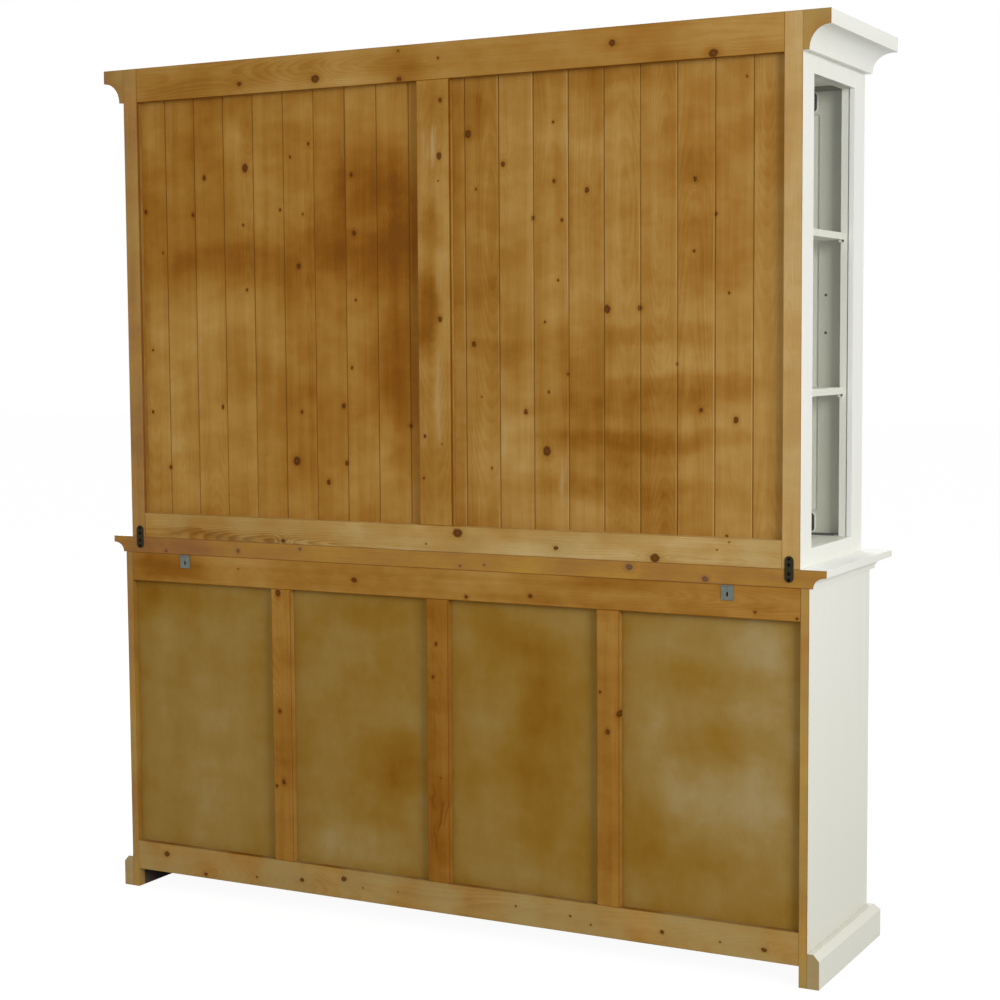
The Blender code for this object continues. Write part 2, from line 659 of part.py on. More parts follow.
def make_sliding_doors():
    """The left door runs in front, the right one behind it, and they lap by one stile."""
    reach = HUTCH_HALF - END_THICK - SLIDER_END_GAP
    low_z, high_z = SLIDER_Z
    bite = GLASS_BITE + GAP
    for (side, sign), track in zip(sides(), (FRONT_TRACK, REAR_TRACK)):
        name = f"sliding_door_{side}"
        outer = sign * reach
        inner = -sign * SLIDER_STILE / 2
        door = board(name, (outer, inner), (track, track + DOOR_THICK), SLIDER_Z, WHITE_PAINT)
        middle = track + DOOR_THICK / 2
        tongue_depth = (middle - TONGUE_THICK / 2, middle + TONGUE_THICK / 2)
        low_tongue = tool_block(f"{name}_tongue_low", (outer, inner), tongue_depth,
                                (HUTCH_FLOOR_TOP - TONGUE_BITE_LOW, low_z + PAST))
        high_tongue = tool_block(f"{name}_tongue_high", (outer, inner), tongue_depth,
                                 (high_z - PAST, HUTCH_CEILING + TONGUE_BITE_HIGH))
        light_x = (outer - sign * SLIDER_STILE, inner + sign * SLIDER_STILE)
        light_z = (low_z + SLIDER_RAIL, high_z - SLIDER_RAIL)
        pane_depth = (middle - GLASS_THICK / 2, middle + GLASS_THICK / 2)
        opening = tool_block(f"{name}_opening", light_x, (track - PAST, track + DOOR_THICK + PAST),
                             light_z)
        groove = tool_block(f"{name}_pane_groove",
                            (light_x[0] + sign * bite, light_x[1] - sign * bite),
                            (pane_depth[0] - GAP, pane_depth[1] + GAP),
                            (light_z[0] - bite, light_z[1] + bite))
        pull, pocket = sunk_pull(f"door_pull_{side}", outer - sign * PULL_FROM_EDGE,
                                 track + DOOR_THICK)
        fuse(door, low_tongue, high_tongue)
        cut(door, opening, groove, pocket)
        board(f"door_glass_{side}",
              (light_x[0] + sign * GLASS_BITE, light_x[1] - sign * GLASS_BITE), pane_depth,
              (light_z[0] - GLASS_BITE, light_z[1] + GLASS_BITE), CLEAR_GLASS)


def tapered_field(name, x_span, z_span, face_depth, recess):
    """A tool that sinks a panel into a face with sloping edges. recess is signed along depth."""
    floor_depth = face_depth + recess
    outside = face_depth - math.copysign(PAST, recess)
    shape = block(x_span, (floor_depth, outside), z_span)
    middle_x = sum(x_span) / 2
    middle_z = sum(z_span) / 2
    flare = PANEL_SLOPE * PAST / abs(recess)
    for vert in shape.verts:
        at_floor = abs(vert.co.y - y_at(floor_depth)) < GAP
        grow = -PANEL_SLOPE if at_floor else flare
        vert.co.x += math.copysign(grow, grow * (vert.co.x - middle_x))
        vert.co.z += math.copysign(grow, grow * (vert.co.z - middle_z))
    return hide(add_object(name, shape, CUTTERS))


def make_panel_door(name, x_span, z_span):
    door = board(name, x_span, (BODY_DEPTH - DOOR_THICK, BODY_DEPTH), z_span, WHITE_PAINT)
    field_x = (min(x_span) + PANEL_DOOR_STILE, max(x_span) - PANEL_DOOR_STILE)
    field_z = (z_span[0] + PANEL_DOOR_STILE, z_span[1] - PANEL_DOOR_STILE)
    front = tapered_field(f"{name}_front_field", field_x, field_z, BODY_DEPTH, -PANEL_FRONT_RECESS)
    back = tapered_field(f"{name}_back_field", field_x, field_z, BODY_DEPTH - DOOR_THICK,
                         PANEL_BACK_RECESS)
    return cut(door, front, back)


def make_hinged_doors():
    """Two pairs. Each door turns on an empty that stands on its hinges' axis."""
    frame_edge = BASE_HALF - BASE_END_STILE
    width = (frame_edge - CENTRE_STILE / 2 - 2 * DOOR_HINGE_GAP - DOOR_MEETING_GAP) / 2
    z_span = (BASE_FLOOR_TOP + DOOR_EDGE_GAP, BASE_HEAD - BASE_TOP_RAIL - DOOR_EDGE_GAP)
    edges = ((-frame_edge, 1), (-CENTRE_STILE / 2, -1), (CENTRE_STILE / 2, 1), (frame_edge, -1))
    for number, (edge, sign) in enumerate(edges, start=1):
        near = edge + sign * DOOR_HINGE_GAP
        far = near + sign * width
        axis = Vector((edge + sign * DOOR_HINGE_GAP / 2, y_at(BODY_DEPTH + GAP + HINGE_RADIUS), 0))
        door = make_panel_door(f"base_door_{number}", (near, far), z_span)
        knob = make_knob(f"base_knob_{number}", far - sign * KNOB_FROM_EDGE,
                         WORKTOP_UNDER - KNOB_BELOW_WORKTOP)
        for label, z in (("low", z_span[0] + HINGE_FROM_END), ("high", z_span[1] - HINGE_FROM_END)):
            make_hinge(f"base_hinge_{number}_{label}", edge, sign, axis, z)
        pivot = bpy.data.objects.new(f"base_door_{number}_axis", None)
        PARTS.objects.link(pivot)
        pivot.location = axis
        for piece in (door, knob):
            piece.parent = pivot
            piece.location -= axis


def flat_plate(name, outline, depth_span, material, collection):
    """A flat outline in X and Z, given its thickness along Y."""
    shape = bmesh.new()
    face = shape.faces.new([shape.verts.new((x, y_at(depth_span[0]), z)) for x, z in outline])
    grown = bmesh.ops.extrude_face_region(shape, geom=[face])["geom"]
    moved = [item for item in grown if isinstance(item, bmesh.types.BMVert)]
    bmesh.ops.translate(shape, verts=moved, vec=(0, depth_span[0] - depth_span[1], 0))
    bmesh.ops.recalc_face_normals(shape, faces=shape.faces)
    return smooth(add_object(name, shape, collection, material))


def round_ended(centre, half_wide, half_tall):
    """A stadium outline standing on end."""
    points = []
    for way in (1, -1):
        for step in range(ROUND_STEPS // 2 + 1):
            turn = math.pi * step / (ROUND_STEPS // 2)
            points.append((centre[0] + way * half_wide * math.cos(turn),
                           centre[1] + way * (half_tall - half_wide + half_wide * math.sin(turn))))
    return points


def make_joining_plates():
    """Black plates that tie the hutch to the worktop."""
    depth = (-GAP, -GAP - PLATE_THICK)
    middle = -GAP - PLATE_THICK / 2
    for side, sign in sides():
        centre = (sign * (HUTCH_HALF - JOINING_PLATE_INSET), WORKTOP_TOP)
        plate = flat_plate(f"joining_plate_{side}",
                           round_ended(centre, JOINING_PLATE_WIDE / 2, JOINING_PLATE_TALL / 2),
                           depth, BLACK_STEEL, PARTS)
        holes = [rod(f"joining_hole_{side}_{number}", JOINING_HOLE_RADIUS,
                     (centre[0], y_at(middle), centre[1] + up), (0, 1, 0), PAST)
                 for number, up in enumerate(JOINING_HOLES)]
        cut(plate, *holes)


def make_wall_plates():
    """Zinc plates with an upright slot for a wall screw and a lip along the top."""
    depth = (-GAP, -GAP - PLATE_THICK)
    top = WORKTOP_UNDER - WALL_PLATE_BELOW_WORKTOP
    for side, sign in sides():
        x = sign * (BASE_HALF - WALL_PLATE_INSET)
        span = (x - WALL_PLATE_WIDE / 2, x + WALL_PLATE_WIDE / 2)
        plate = board(f"wall_plate_{side}", span, depth, (top - WALL_PLATE_TALL, top), ZINC_STEEL)
        lip = tool_block(f"wall_plate_lip_{side}", span,
                         (-GAP - PLATE_THICK / 2, -GAP - PLATE_THICK - WALL_PLATE_LIP),
                         (top - PLATE_THICK, top))
        slot_centre = (x, top - SLOT_BELOW_TOP)
        slot = hide(flat_plate(f"wall_plate_slot_{side}",
                               round_ended(slot_centre, SLOT_RADIUS, SLOT_LONG / 2),
                               (PAST, -PAST), None, CUTTERS))
        fuse(plate, lip)
        cut(plate, slot)


make_base_boards()
make_base_back()
make_face_frame("base_face_frame", BASE_HALF, BASE_END_STILE, (0, BASE_HEAD),
                (BASE_FLOOR_TOP, BASE_HEAD - BASE_TOP_RAIL), CENTRE_STILE)
make_hinged_doors()
make_plinth()
make_worktop()
make_hutch_ends()
make_hutch_boards()
make_hutch_shelves()
make_hutch_back()
make_face_frame("hutch_face_frame", HUTCH_HALF, HUTCH_END_STILE, (HUTCH_FOOT, HEIGHT),
                (SLIDER_Z[0] + HUTCH_FRAME_LAP_LOW, SLIDER_Z[1] - HUTCH_FRAME_LAP_HIGH), 0)
make_sliding_doors()
make_cornice()
make_joining_plates()
make_wall_plates()
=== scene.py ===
import math

import bmesh
import bpy
from mathutils import Matrix, Vector


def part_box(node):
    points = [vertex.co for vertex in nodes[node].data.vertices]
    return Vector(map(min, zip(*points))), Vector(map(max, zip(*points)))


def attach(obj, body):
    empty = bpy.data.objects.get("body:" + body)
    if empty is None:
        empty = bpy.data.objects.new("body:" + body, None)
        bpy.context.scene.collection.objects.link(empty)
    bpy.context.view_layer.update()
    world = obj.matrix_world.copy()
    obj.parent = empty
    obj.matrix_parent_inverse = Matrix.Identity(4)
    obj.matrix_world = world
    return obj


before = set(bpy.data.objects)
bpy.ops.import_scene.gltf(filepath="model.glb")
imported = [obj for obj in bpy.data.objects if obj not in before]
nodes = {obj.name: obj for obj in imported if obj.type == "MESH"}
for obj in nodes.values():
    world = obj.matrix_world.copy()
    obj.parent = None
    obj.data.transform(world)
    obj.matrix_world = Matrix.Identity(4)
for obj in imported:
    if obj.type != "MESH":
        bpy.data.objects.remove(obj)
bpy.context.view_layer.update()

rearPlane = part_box("hutch_back_top_rail")[1].y  # everything stained on the outside ends here
print("frame loaded,", len(nodes), "nodes")


# the camera stands where the photo was taken from
photo = {
    "side": 1000,  # pixels, the photo is square
    "lens": 70.59,
    "sensor": 36.0,
    "place": (-2.3914, 4.4387, 1.4732),
    "turn": 27.84,  # degrees away from looking straight at the back
    "tilt": 4.57,
    "roll": -0.36,
    "farthest": 200,  # metres that it sees
}


def photoAxes():
    turn, tilt, roll = (math.radians(photo[key]) for key in ("turn", "tilt", "roll"))
    ahead = Vector((math.sin(turn) * math.cos(tilt), -math.cos(turn) * math.cos(tilt), -math.sin(tilt)))
    level = ahead.cross(Vector((0, 0, 1))).normalized()
    upright = level.cross(ahead)
    across = level * math.cos(roll) + upright * math.sin(roll)
    up = upright * math.cos(roll) - level * math.sin(roll)
    return across, up, ahead


def onBack(pixelAcross, pixelDown, depth):  # a photo pixel to its x and z, so deep in the back
    across, up, ahead = photoAxes()
    focal = photo["lens"] / photo["sensor"] * photo["side"]
    middle = photo["side"] / 2
    ray = ahead * focal + across * (pixelAcross - middle) + up * (middle - pixelDown)
    start = Vector(photo["place"])
    hit = start + ray * ((rearPlane - depth - start.y) / ray.y)
    return hit.x, hit.z


def placeCamera():
    across, up, ahead = photoAxes()
    data = bpy.data.cameras.new("photoCamera")
    data.lens = photo["lens"]
    data.sensor_width = photo["sensor"]
    data.clip_end = photo["farthest"]
    camera = bpy.data.objects.new("photoCamera", data)
    turned = Matrix((across, up, -ahead)).transposed().to_4x4()
    camera.matrix_world = Matrix.Translation(photo["place"]) @ turned
    bpy.context.scene.collection.objects.link(camera)
    bpy.context.scene.camera = camera


placeCamera()
print("camera placed")


def by(operation):  # one step of arithmetic on a wire
    return lambda self, *others: self.reckon(operation, self, *others)


class Wire:  # one output of a shader node, so that a pattern reads as a sum
    def __init__(self, finish, socket):
        self.finish = finish
        self.socket = socket

    def reckon(self, operation, *values):
        return self.finish.node("ShaderNodeMath", {"operation": operation}, dict(enumerate(values)))

    def __rsub__(self, other):
        return self.reckon("SUBTRACT", other, self)

    __add__ = __radd__ = by("ADD")
    __mul__ = __rmul__ = by("MULTIPLY")
    __sub__ = by("SUBTRACT")
    __truediv__ = by("DIVIDE")
    __abs__ = by("ABSOLUTE")
    __gt__ = by("GREATER_THAN")
    __lt__ = by("LESS_THAN")
    floor = by("FLOOR")
    part = by("FRACT")
    least = by("MINIMUM")
    most = by("MAXIMUM")

    def fade(self, start, end):  # 0 at start, 1 at end, smooth between
        return self.finish.node(
            "ShaderNodeMapRange", {"interpolation_type": "SMOOTHSTEP"},
            {"Value": self, "From Min": start, "From Max": end})


bumpStrength = 0.6
# the dull unpainted wood under the base floor, seen between the feet, coloured far darker than bare pine:
# partly the wood itself and partly painted shade
underneath = {"colour": (0.100, 0.072, 0.058), "roughness": 0.95, "below": 0.110, "inFromEdge": 0.016}


class Finish:  # a material under way, or the world around
    def __init__(self, name, world=False):
        self.kind = "World" if world else "Material"
        self.made = (bpy.data.worlds if world else bpy.data.materials).new(name)
        self.made.use_nodes = True
        self.tree = self.made.node_tree
        self.tree.nodes.clear()
        self.place = self.node("ShaderNodeTexCoord", output="Object")
        self.x, self.y, self.z = self.split(self.place)

    def node(self, kind, settings=None, values=None, output=0):
        made = self.tree.nodes.new(kind)
        for key, value in (settings or {}).items():
            if key == "stops":
                ramp = made.color_ramp
                while len(ramp.elements) < len(value):
                    ramp.elements.new(0.5)
                for element, (at, colour) in zip(ramp.elements, value):
                    element.position = at
                    element.color = (*colour, 1)
            else:
                setattr(made, key, value)
        for key, value in (values or {}).items():
            socket = made.inputs[key]
            if isinstance(value, Wire):
                self.tree.links.new(value.socket, socket)
            elif socket.type == "RGBA" and len(value) == 3:
                socket.default_value = (*value, 1)
            else:
                socket.default_value = value
        return Wire(self, made.outputs[output])

    def split(self, vector):
        made = self.node("ShaderNodeSeparateXYZ", {}, {0: vector}).socket.node
        return [Wire(self, socket) for socket in made.outputs]

    def join(self, x, y, z):
        return self.node("ShaderNodeCombineXYZ", {}, {0: x, 1: y, 2: z})

    def vector(self, operation, *values):
        output = 1 if operation in ("LENGTH", "DISTANCE") else 0
        return self.node(
            "ShaderNodeVectorMath", {"operation": operation}, dict(enumerate(values)), output)

    def noise(self, vector, stretch, detail=2.0, rough=0.5, output=0):
        return self.node(
            "ShaderNodeTexNoise", {},
            {"Vector": self.vector("MULTIPLY", vector, stretch), "Scale": 1.0, "Detail": detail,
             "Roughness": rough}, output)

    def blend(self, amount, first, second):  # first colour at 0, second at 1
        return self.node("ShaderNodeMix", {"data_type": "RGBA"}, {0: amount, 6: first, 7: second}, 2)

    def shades(self, amount, stops):
        return self.node("ShaderNodeValToRGB", {"stops": stops}, {"Fac": amount})

    def anyRay(self, first, *others):  # 1 for light rays of any of these kinds
        path = self.node("ShaderNodeLightPath").socket.node
        found = Wire(self, path.outputs[first])
        for other in others:
            found = found.most(Wire(self, path.outputs[other]))
        return found

    def done(self, colour, rough, height, reach, rawAndShade=None, **constants):
        values = {"Base Color": colour, "Roughness": rough, "Normal": self.node(
            "ShaderNodeBump", {}, {"Height": height, "Strength": bumpStrength, "Distance": reach})}
        for key, value in constants.items():
            values[key.replace("_", " ")] = value
        shader = self.node("ShaderNodeBsdfPrincipled", {}, values)
        if rawAndShade:  # dull unpainted wood where this mask is 1, coloured dark partly as painted shade
            dull = self.node("ShaderNodeBsdfPrincipled", {}, {
                "Base Color": underneath["colour"], "Roughness": underneath["roughness"],
                "Specular IOR Level": 0.0})
            shader = self.node("ShaderNodeMixShader", {}, {0: rawAndShade, 1: shader, 2: dull})
        return self.close(shader)

    def close(self, shader):
        out = self.tree.nodes.new(f"ShaderNodeOutput{self.kind}")
        self.tree.links.new(shader.socket, out.inputs["Surface"])
        return self.made


def pixelSpan(spot, depth):  # a spot given in photo pixels to its middle and half sizes in metres
    across, down, wide, tall = spot[:4]
    x, z = onBack(across, down, depth)
    xEdge = onBack(across + wide, down, depth)[0]
    zEdge = onBack(across, down + tall, depth)[1]
    return x, z, abs(xEdge - x), abs(zEdge - z)


def wobbled(finish, ragged, reach):  # the place on the object, moved aside unevenly
    aside = finish.vector("SUBTRACT", finish.noise(finish.place, *ragged), (0.5, 0.5, 0.5))
    return finish.vector("ADD", finish.place, finish.vector("MULTIPLY", aside, (reach,) * 3))


spotEdge = {
    "ragged": ((6.0, 6.0, 9.0), 3.0, 0.6, "Color"), "fades": (1.35, 0.25),
    "stainsBy": 0.07, "bareBy": 0.03,  # metres that the edges of stains and of bare spots wander
}


def spots(finish, marks, depth, raggedness):  # soft-edged patches laid over each other
    if not marks:
        return None
    moved = wobbled(finish, spotEdge["ragged"], raggedness)
    total = None
    for mark in marks:
        x, z, halfWide, halfTall = pixelSpan(mark, depth)
        offset = finish.vector("SUBTRACT", moved, (x, 0, z))
        inSpots = finish.vector("MULTIPLY", offset, (1 / halfWide, 0, 1 / halfTall))
        patch = finish.vector("LENGTH", inSpots).fade(*spotEdge["fades"]) * mark[4]
        total = patch if total is None else total + patch
    return total


knotShape = {
    "blur": 0.9,  # mm that the photo's softness adds to the radius of a knot
    "drawnOut": 0.82,  # knots are longer along the grain
    "ragged": ((150.0,) * 3, 1.0, 0.5, "Color"),
    "raggedBy": 0.005,
}


def knotDistance(finish, knots, depth, grain):  # in radii of the nearest knot
    long = (1.0, 0, knotShape["drawnOut"]) if grain == "z" else (knotShape["drawnOut"], 0, 1.0)
    flat = finish.vector("MULTIPLY", wobbled(finish, knotShape["ragged"], knotShape["raggedBy"]), long)
    nearest = None
    for across, down, radius in knots:
        x, z = onBack(across, down, depth)
        size = (radius - knotShape["blur"]) / 1000
        away = finish.vector("DISTANCE", flat, (x * long[0], 0, z * long[2])) * (1 / size)
        nearest = away if nearest is None else nearest.least(away)
    return nearest


pineStain = {
    "stops": (
        (0.00, (0.512, 0.355, 0.148)),
        (0.25, (0.408, 0.238, 0.063)),
        (0.50, (0.326, 0.154, 0.024)),
        (0.75, (0.234, 0.088, 0.005)),
        (1.00, (0.150, 0.047, 0.001)),
    ),
    "knotHeart": (0.118, 0.036, 0.002),
    "knotRim": (0.066, 0.017, 0.001),
    "bare": (0.470, 0.335, 0.145),  # where the stain has not taken
    "haze": (0.360, 0.280, 0.112),
    "shine": 0.08,  # a matt stain mirrors little
    "underSatin": (0.95, 0.94, 0.50),  # evens out the satin sheen where paint and stain share a finish
    "darkest": 0.90,
    "bareLeast": 0.2,
    "bareMost": 0.85,
    "knotShare": 0.94,
    "roughness": 0.62,
    "lateSmoother": 0.08,
    "cloudsRougher": 0.2,
    "bump": 0.0003,
}
# noise over the wood: its stretch in each direction, detail and roughness
pineGrain = {
    "clouds": ((2.4, 2.4, 3.4), 4.0, 0.55),
    "mottle": ((8.0, 8.0, 13.0), 3.0, 0.6),
    "streaks": ((34.0, 34.0, 1.1), 3.0, 0.55),
    "fibres": ((520.0, 520.0, 9.0), 1.0),
    "wander": ((0.0, 2.0, 0.9), 2.0),
    "pith": ((0.0, 1.0, 0.75), 1.0),
    "waver": ((11.0, 11.0, 2.2), 2.0),
    "showing": ((5.0, 5.0, 1.3), 1.0),
    "veil": ((7.0, 7.0, 7.0), 3.0),
    "torn": ((120.0, 120.0, 6.0), 3.0),
    "wanderBy": 0.08,
    "pithBy": 0.11,
    "waverBy": 0.010,
    "roundKnots": 0.008,  # how far the rings give way to a knot
    "ringGap": 0.0042,
    "heartBy": 0.02,
    "seedGrain": (1.7, 0.9, 2.3),
    "seedBlot": (1.0, 0.3, 0.7),
}
# from where to where a pattern fades in
pineFades = {
    "mottle": (0.34, 0.66), "pith": (0.3, 0.75), "showing": (0.35, 0.75), "veil": (0.3, 0.7),
    "torn": (0.42, 0.6), "late": (0.2, 0.85), "lateEnd": (1.0, 0.9),
    "roundKnot": (5.0, 0.4), "nearKnot": (2.6, 0.7), "knot": (1.16, 0.62), "knotHeart": (0.2, 0.7),
    "joint": (0.0018, 0.0004), "line": 0.0015,
}
# how much each of them darkens the stain
pineShares = {"mottle": 0.11, "streaks": 0.38, "fibres": 0.15, "late": 0.065, "lateLeast": 0.008,
              "board": 0.12, "nearKnot": 0.13, "joint": 0.30}
faceSlack = 0.0006  # a point this near to a face counts as on it


def pinePattern(finish, tone, seed=0.0, grain="z", box=None, boards=None, knots=(), stains=(),
                bareSpots=(), depth=0.0, cloud=1.0, haze=0.0, figure=1.0, turned=-0.10, lineDepth=0.008):
    run, side = (finish.z, finish.x) if grain == "z" else (finish.x, finish.z)
    if boards:  # each board of the back has its own grain and tone
        fromFirst = (abs(finish.x) - boards["firstSeam"]) / boards["pitch"]
        number = fromFirst.floor() + (finish.x > 0) * boards["otherHalf"] + boards["firstNumber"]
        own = finish.node("ShaderNodeTexWhiteNoise", {"noise_dimensions": "1D"}, {"W": number})
        aside = (fromFirst.part() - own) * boards["pitch"]
        inGrain = finish.join(side, number * boards["stepAside"], run + number * boards["stepAlong"])
        blot = finish.join(finish.x, number * boards["blotStep"], finish.z + own * boards["blotDrop"])
    else:
        low, high = box
        centre = (low + high) / 2
        heart = (centre.x if grain == "z" else centre.z) + pineGrain["heartBy"] * math.sin(seed * 5)
        aside = side - heart
        start = seed * Vector(pineGrain["seedGrain"])
        inGrain = finish.vector("ADD", finish.join(side, finish.y, run), start)
        blot = finish.vector("ADD", finish.place, seed * Vector(pineGrain["seedBlot"]))
        own = None

    def layer(name, where=inGrain):
        drawn = finish.noise(where, *pineGrain[name])
        return drawn.fade(*pineFades[name]) if name in pineFades else drawn

    clouds, mottle = layer("clouds", blot), layer("mottle", blot)
    streaks, fibres, wander = layer("streaks"), layer("fibres"), layer("wander")
    pith = layer("pith") * pineGrain["pithBy"]
    ringAt = finish.vector(
        "LENGTH", finish.join(aside + (wander - 0.5) * pineGrain["wanderBy"], pith, 0.0))
    ringAt = ringAt + layer("waver") * pineGrain["waverBy"]
    nearest = knotDistance(finish, knots, depth, grain) if knots else None
    if knots:
        ringAt = ringAt + nearest.fade(*pineFades["roundKnot"]) * pineGrain["roundKnots"]
    phase = (ringAt / pineGrain["ringGap"]).part()
    late = phase.fade(*pineFades["late"]) * phase.fade(*pineFades["lateEnd"])
    amount = tone + (clouds - 0.5) * cloud
    amount = amount + (mottle - 0.5) * pineShares["mottle"] + (streaks - 0.5) * pineShares["streaks"]
    rings = late * (layer("showing") * pineShares["late"] + pineShares["lateLeast"]) * figure
    amount = amount + (fibres - 0.5) * pineShares["fibres"] + rings
    if own:
        amount = amount + (own - 0.5) * pineShares["board"]
    placed = spots(finish, stains, depth, spotEdge["stainsBy"])
    if placed:
        amount = amount + placed
    if knots:
        amount = amount + nearest.fade(*pineFades["nearKnot"]) * pineShares["nearKnot"]
    if box:  # the stain gathers in the joints; with turned above 0 the faces that turn into a recess are darkened near the rear as painted shade, with it below 0 they are lightened all over
        low, high = box
        fromEnd = (finish.z - low.z).least(high.z - finish.z)
        rim = (finish.x - low.x).least(high.x - finish.x).least(fromEnd)
        outside = finish.y > high.y - 2 * faceSlack
        bottom = high.y - lineDepth
        reach = pineFades["line"]
        line = finish.y.fade(bottom - reach, bottom + reach) if turned > 0 else 1.0
        joint = rim.fade(*pineFades["joint"]) * outside * pineShares["joint"]
        amount = amount + joint + (1 - outside) * line * turned
    colour = finish.shades(amount.least(pineStain["darkest"]), pineStain["stops"])
    if haze:
        colour = finish.blend(layer("veil", blot) * haze, colour, pineStain["haze"])
    pale = spots(finish, bareSpots, depth, spotEdge["bareBy"])
    if pale:
        torn = layer("torn") + pineStain["bareLeast"]
        colour = finish.blend((pale * torn).least(pineStain["bareMost"]), colour, pineStain["bare"])
    if knots:
        knot = finish.blend(
            nearest.fade(*pineFades["knotHeart"]), pineStain["knotHeart"], pineStain["knotRim"])
        colour = finish.blend(nearest.fade(*pineFades["knot"]) * pineStain["knotShare"], colour, knot)
    height = (fibres + late) * 0.5
    rough = pineStain["roughness"] - late * pineStain["lateSmoother"]
    return colour, rough + (clouds - 0.5) * pineStain["cloudsRougher"], height


def pine(name, **pattern):
    finish = Finish(name)
    return finish.done(*pinePattern(finish, box=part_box(name), **pattern), reach=pineStain["bump"],
                       Specular_IOR_Level=pineStain["shine"])


def wear(name, material):
    for slot in nodes[name].material_slots:
        slot.material = material


# the frame's pieces come as loose flat triangles: where they are round, modifiers merge and smooth them
smoothing = {"merge": 0.00001, "sharpFrom": math.radians(28), "weight": 100}


def smoothGroup():
    group = bpy.data.node_groups.new("merge and smooth", "GeometryNodeTree")
    group.interface.new_socket("Geometry", in_out="INPUT", socket_type="NodeSocketGeometry")
    group.interface.new_socket("Geometry", in_out="OUTPUT", socket_type="NodeSocketGeometry")
    start = group.nodes.new("NodeGroupInput")
    merge = group.nodes.new("GeometryNodeMergeByDistance")
    merge.inputs["Distance"].default_value = smoothing["merge"]
    angle = group.nodes.new("GeometryNodeInputMeshEdgeAngle")
    sharp = group.nodes.new("FunctionNodeCompare")
    sharp.data_type = "FLOAT"
    sharp.operation = "GREATER_THAN"
    sharp.inputs[1].default_value = smoothing["sharpFrom"]
    normals = group.nodes.new("GeometryNodeSetMeshNormal")
    normals.mode = "SHARPNESS"
    end = group.nodes.new("NodeGroupOutput")
    group.links.new(start.outputs[0], merge.inputs[0])
    group.links.new(merge.outputs[0], normals.inputs["Mesh"])
    group.links.new(angle.outputs["Unsigned Angle"], sharp.inputs[0])
    group.links.new(sharp.outputs[0], normals.inputs["Edge Sharpness"])
    group.links.new(normals.outputs[0], end.inputs[0])
    return group


mergeAndSmooth = smoothGroup()
roundPieces = ("cornice", "worktop", "base_knob", "base_hinge", "door_pull", "joining_plate",
               "wall_plate")
for name, piece in nodes.items():
    if name.startswith(roundPieces):
        piece.modifiers.new("merge and smooth", "NODES").node_group = mergeAndSmooth
        weighted = piece.modifiers.new("even normals", "WEIGHTED_NORMAL")
        weighted.weight = smoothing["weight"]
        weighted.keep_sharp = True
print("rounded pieces smoothed")


# rails and stiles of the back: knots as photo pixel across, down and radius in mm; stains and bare
# spots as photo pixel across, down, half width, half height and strength
backRails = {
    "hutch_back_top_rail": {
        "grain": "x", "seed": 1.3, "tone": 0.38, "cloud": 0.8, "figure": 1.6, "turned": 0.60,
        "knots": ((239, 84, 7), (315, 79, 12), (399, 79, 7), (398, 51, 4), (438, 58, 4), (612, 43, 9),
                  (713.5, 53, 11)),
        "stains": ((395, 66, 40, 30, 0.20), (260, 70, 60, 20, 0.10), (470, 60, 50, 20, 0.08)),
    },
    "hutch_back_bottom_rail": {
        "grain": "x", "seed": 2.1, "tone": 0.21, "haze": 0.30, "cloud": 0.9, "figure": 7.0,
        "knots": ((283, 541, 7), (457.6, 533, 13), (556, 548, 7), (655, 558, 12), (729, 542, 3),
                  (717, 550, 3), (426, 544, 3), (727, 536, 3)),
        "stains": ((200, 530, 40, 12, 0.12), (195, 532, 48, 4, 0.24), (262, 537, 40, 3, 0.20)),
        "bareSpots": ((400, 549, 42, 2.5, 0.9), (590, 556, 60, 2.5, 0.7), (700, 561, 50, 2.5, 0.6),
                      (330, 544, 50, 2.0, 0.5)),
    },
    "hutch_back_centre_stile": {
        "grain": "z", "seed": 3.2, "tone": 0.39, "cloud": 0.7, "turned": 0.60,
        "knots": ((440, 100, 6), (439, 156, 9), (440, 319, 7), (425, 436, 5), (442, 444, 3),
                  (424, 478, 4), (438, 181, 3)),
        "stains": ((430, 120, 22, 40, 0.14), (427, 310, 14, 50, 0.42), (430, 230, 14, 34, 0.22)),
        "bareSpots": ((426, 150, 4, 26, 0.5), (433, 146, 3, 24, 0.5), (440, 270, 4, 40, 0.35),
                      (424, 436, 4, 12, 0.3), (438, 400, 4, 50, 0.3)),
    },
    "base_back_top_rail": {
        "grain": "x", "seed": 4.4, "tone": 0.50,
        "knots": ((354, 580, 8), (466, 597, 6), (530, 596, 6), (755, 612, 4), (797, 619, 4),
                  (238, 569, 3)),
        "stains": ((170, 566, 50, 14, 0.28), (330, 575, 70, 14, 0.10), (640, 600, 90, 16, -0.14)),
    },
    "base_back_bottom_rail": {
        "grain": "x", "seed": 5.9, "tone": 0.37, "haze": 0.6, "cloud": 0.5, "figure": 2.0,
        "turned": 0.50, "lineDepth": 0.03,
        "knots": ((167, 854, 9), (206, 874, 6), (257, 877, 4), (302, 880, 7), (344, 879, 8),
                  (363, 888, 3), (398, 892, 3), (516, 906, 4), (570, 916, 4), (591, 925, 4),
                  (662, 932, 6), (720, 942, 4), (764, 950, 7)),
    },
    "base_back_stile_centre": {
        "grain": "z", "seed": 6.6, "tone": 0.62, "cloud": 0.45, "figure": 0.6,
        "knots": ((436, 644, 5), (433, 677, 5), (441, 778, 3)),
        "stains": ((437, 822, 10, 40, 0.10), (433, 800, 1.2, 14, 0.20), (440, 818, 1.4, 20, 0.24),
                   (436, 838, 1.0, 16, 0.22), (445, 812, 1.0, 18, 0.16)),
    },
    "base_back_stile_right": {
        "grain": "z", "seed": 7.7, "tone": 0.51, "cloud": 0.6,
        "knots": ((278, 593, 9), (280, 711, 6), (284, 782, 7), (277, 786, 5)),
    },
    "base_back_stile_left": {
        "grain": "z", "seed": 8.8, "tone": 0.56, "cloud": 0.6,
        "knots": ((619, 714, 8), (607.5, 732, 7), (600, 692, 4)),
    },
}
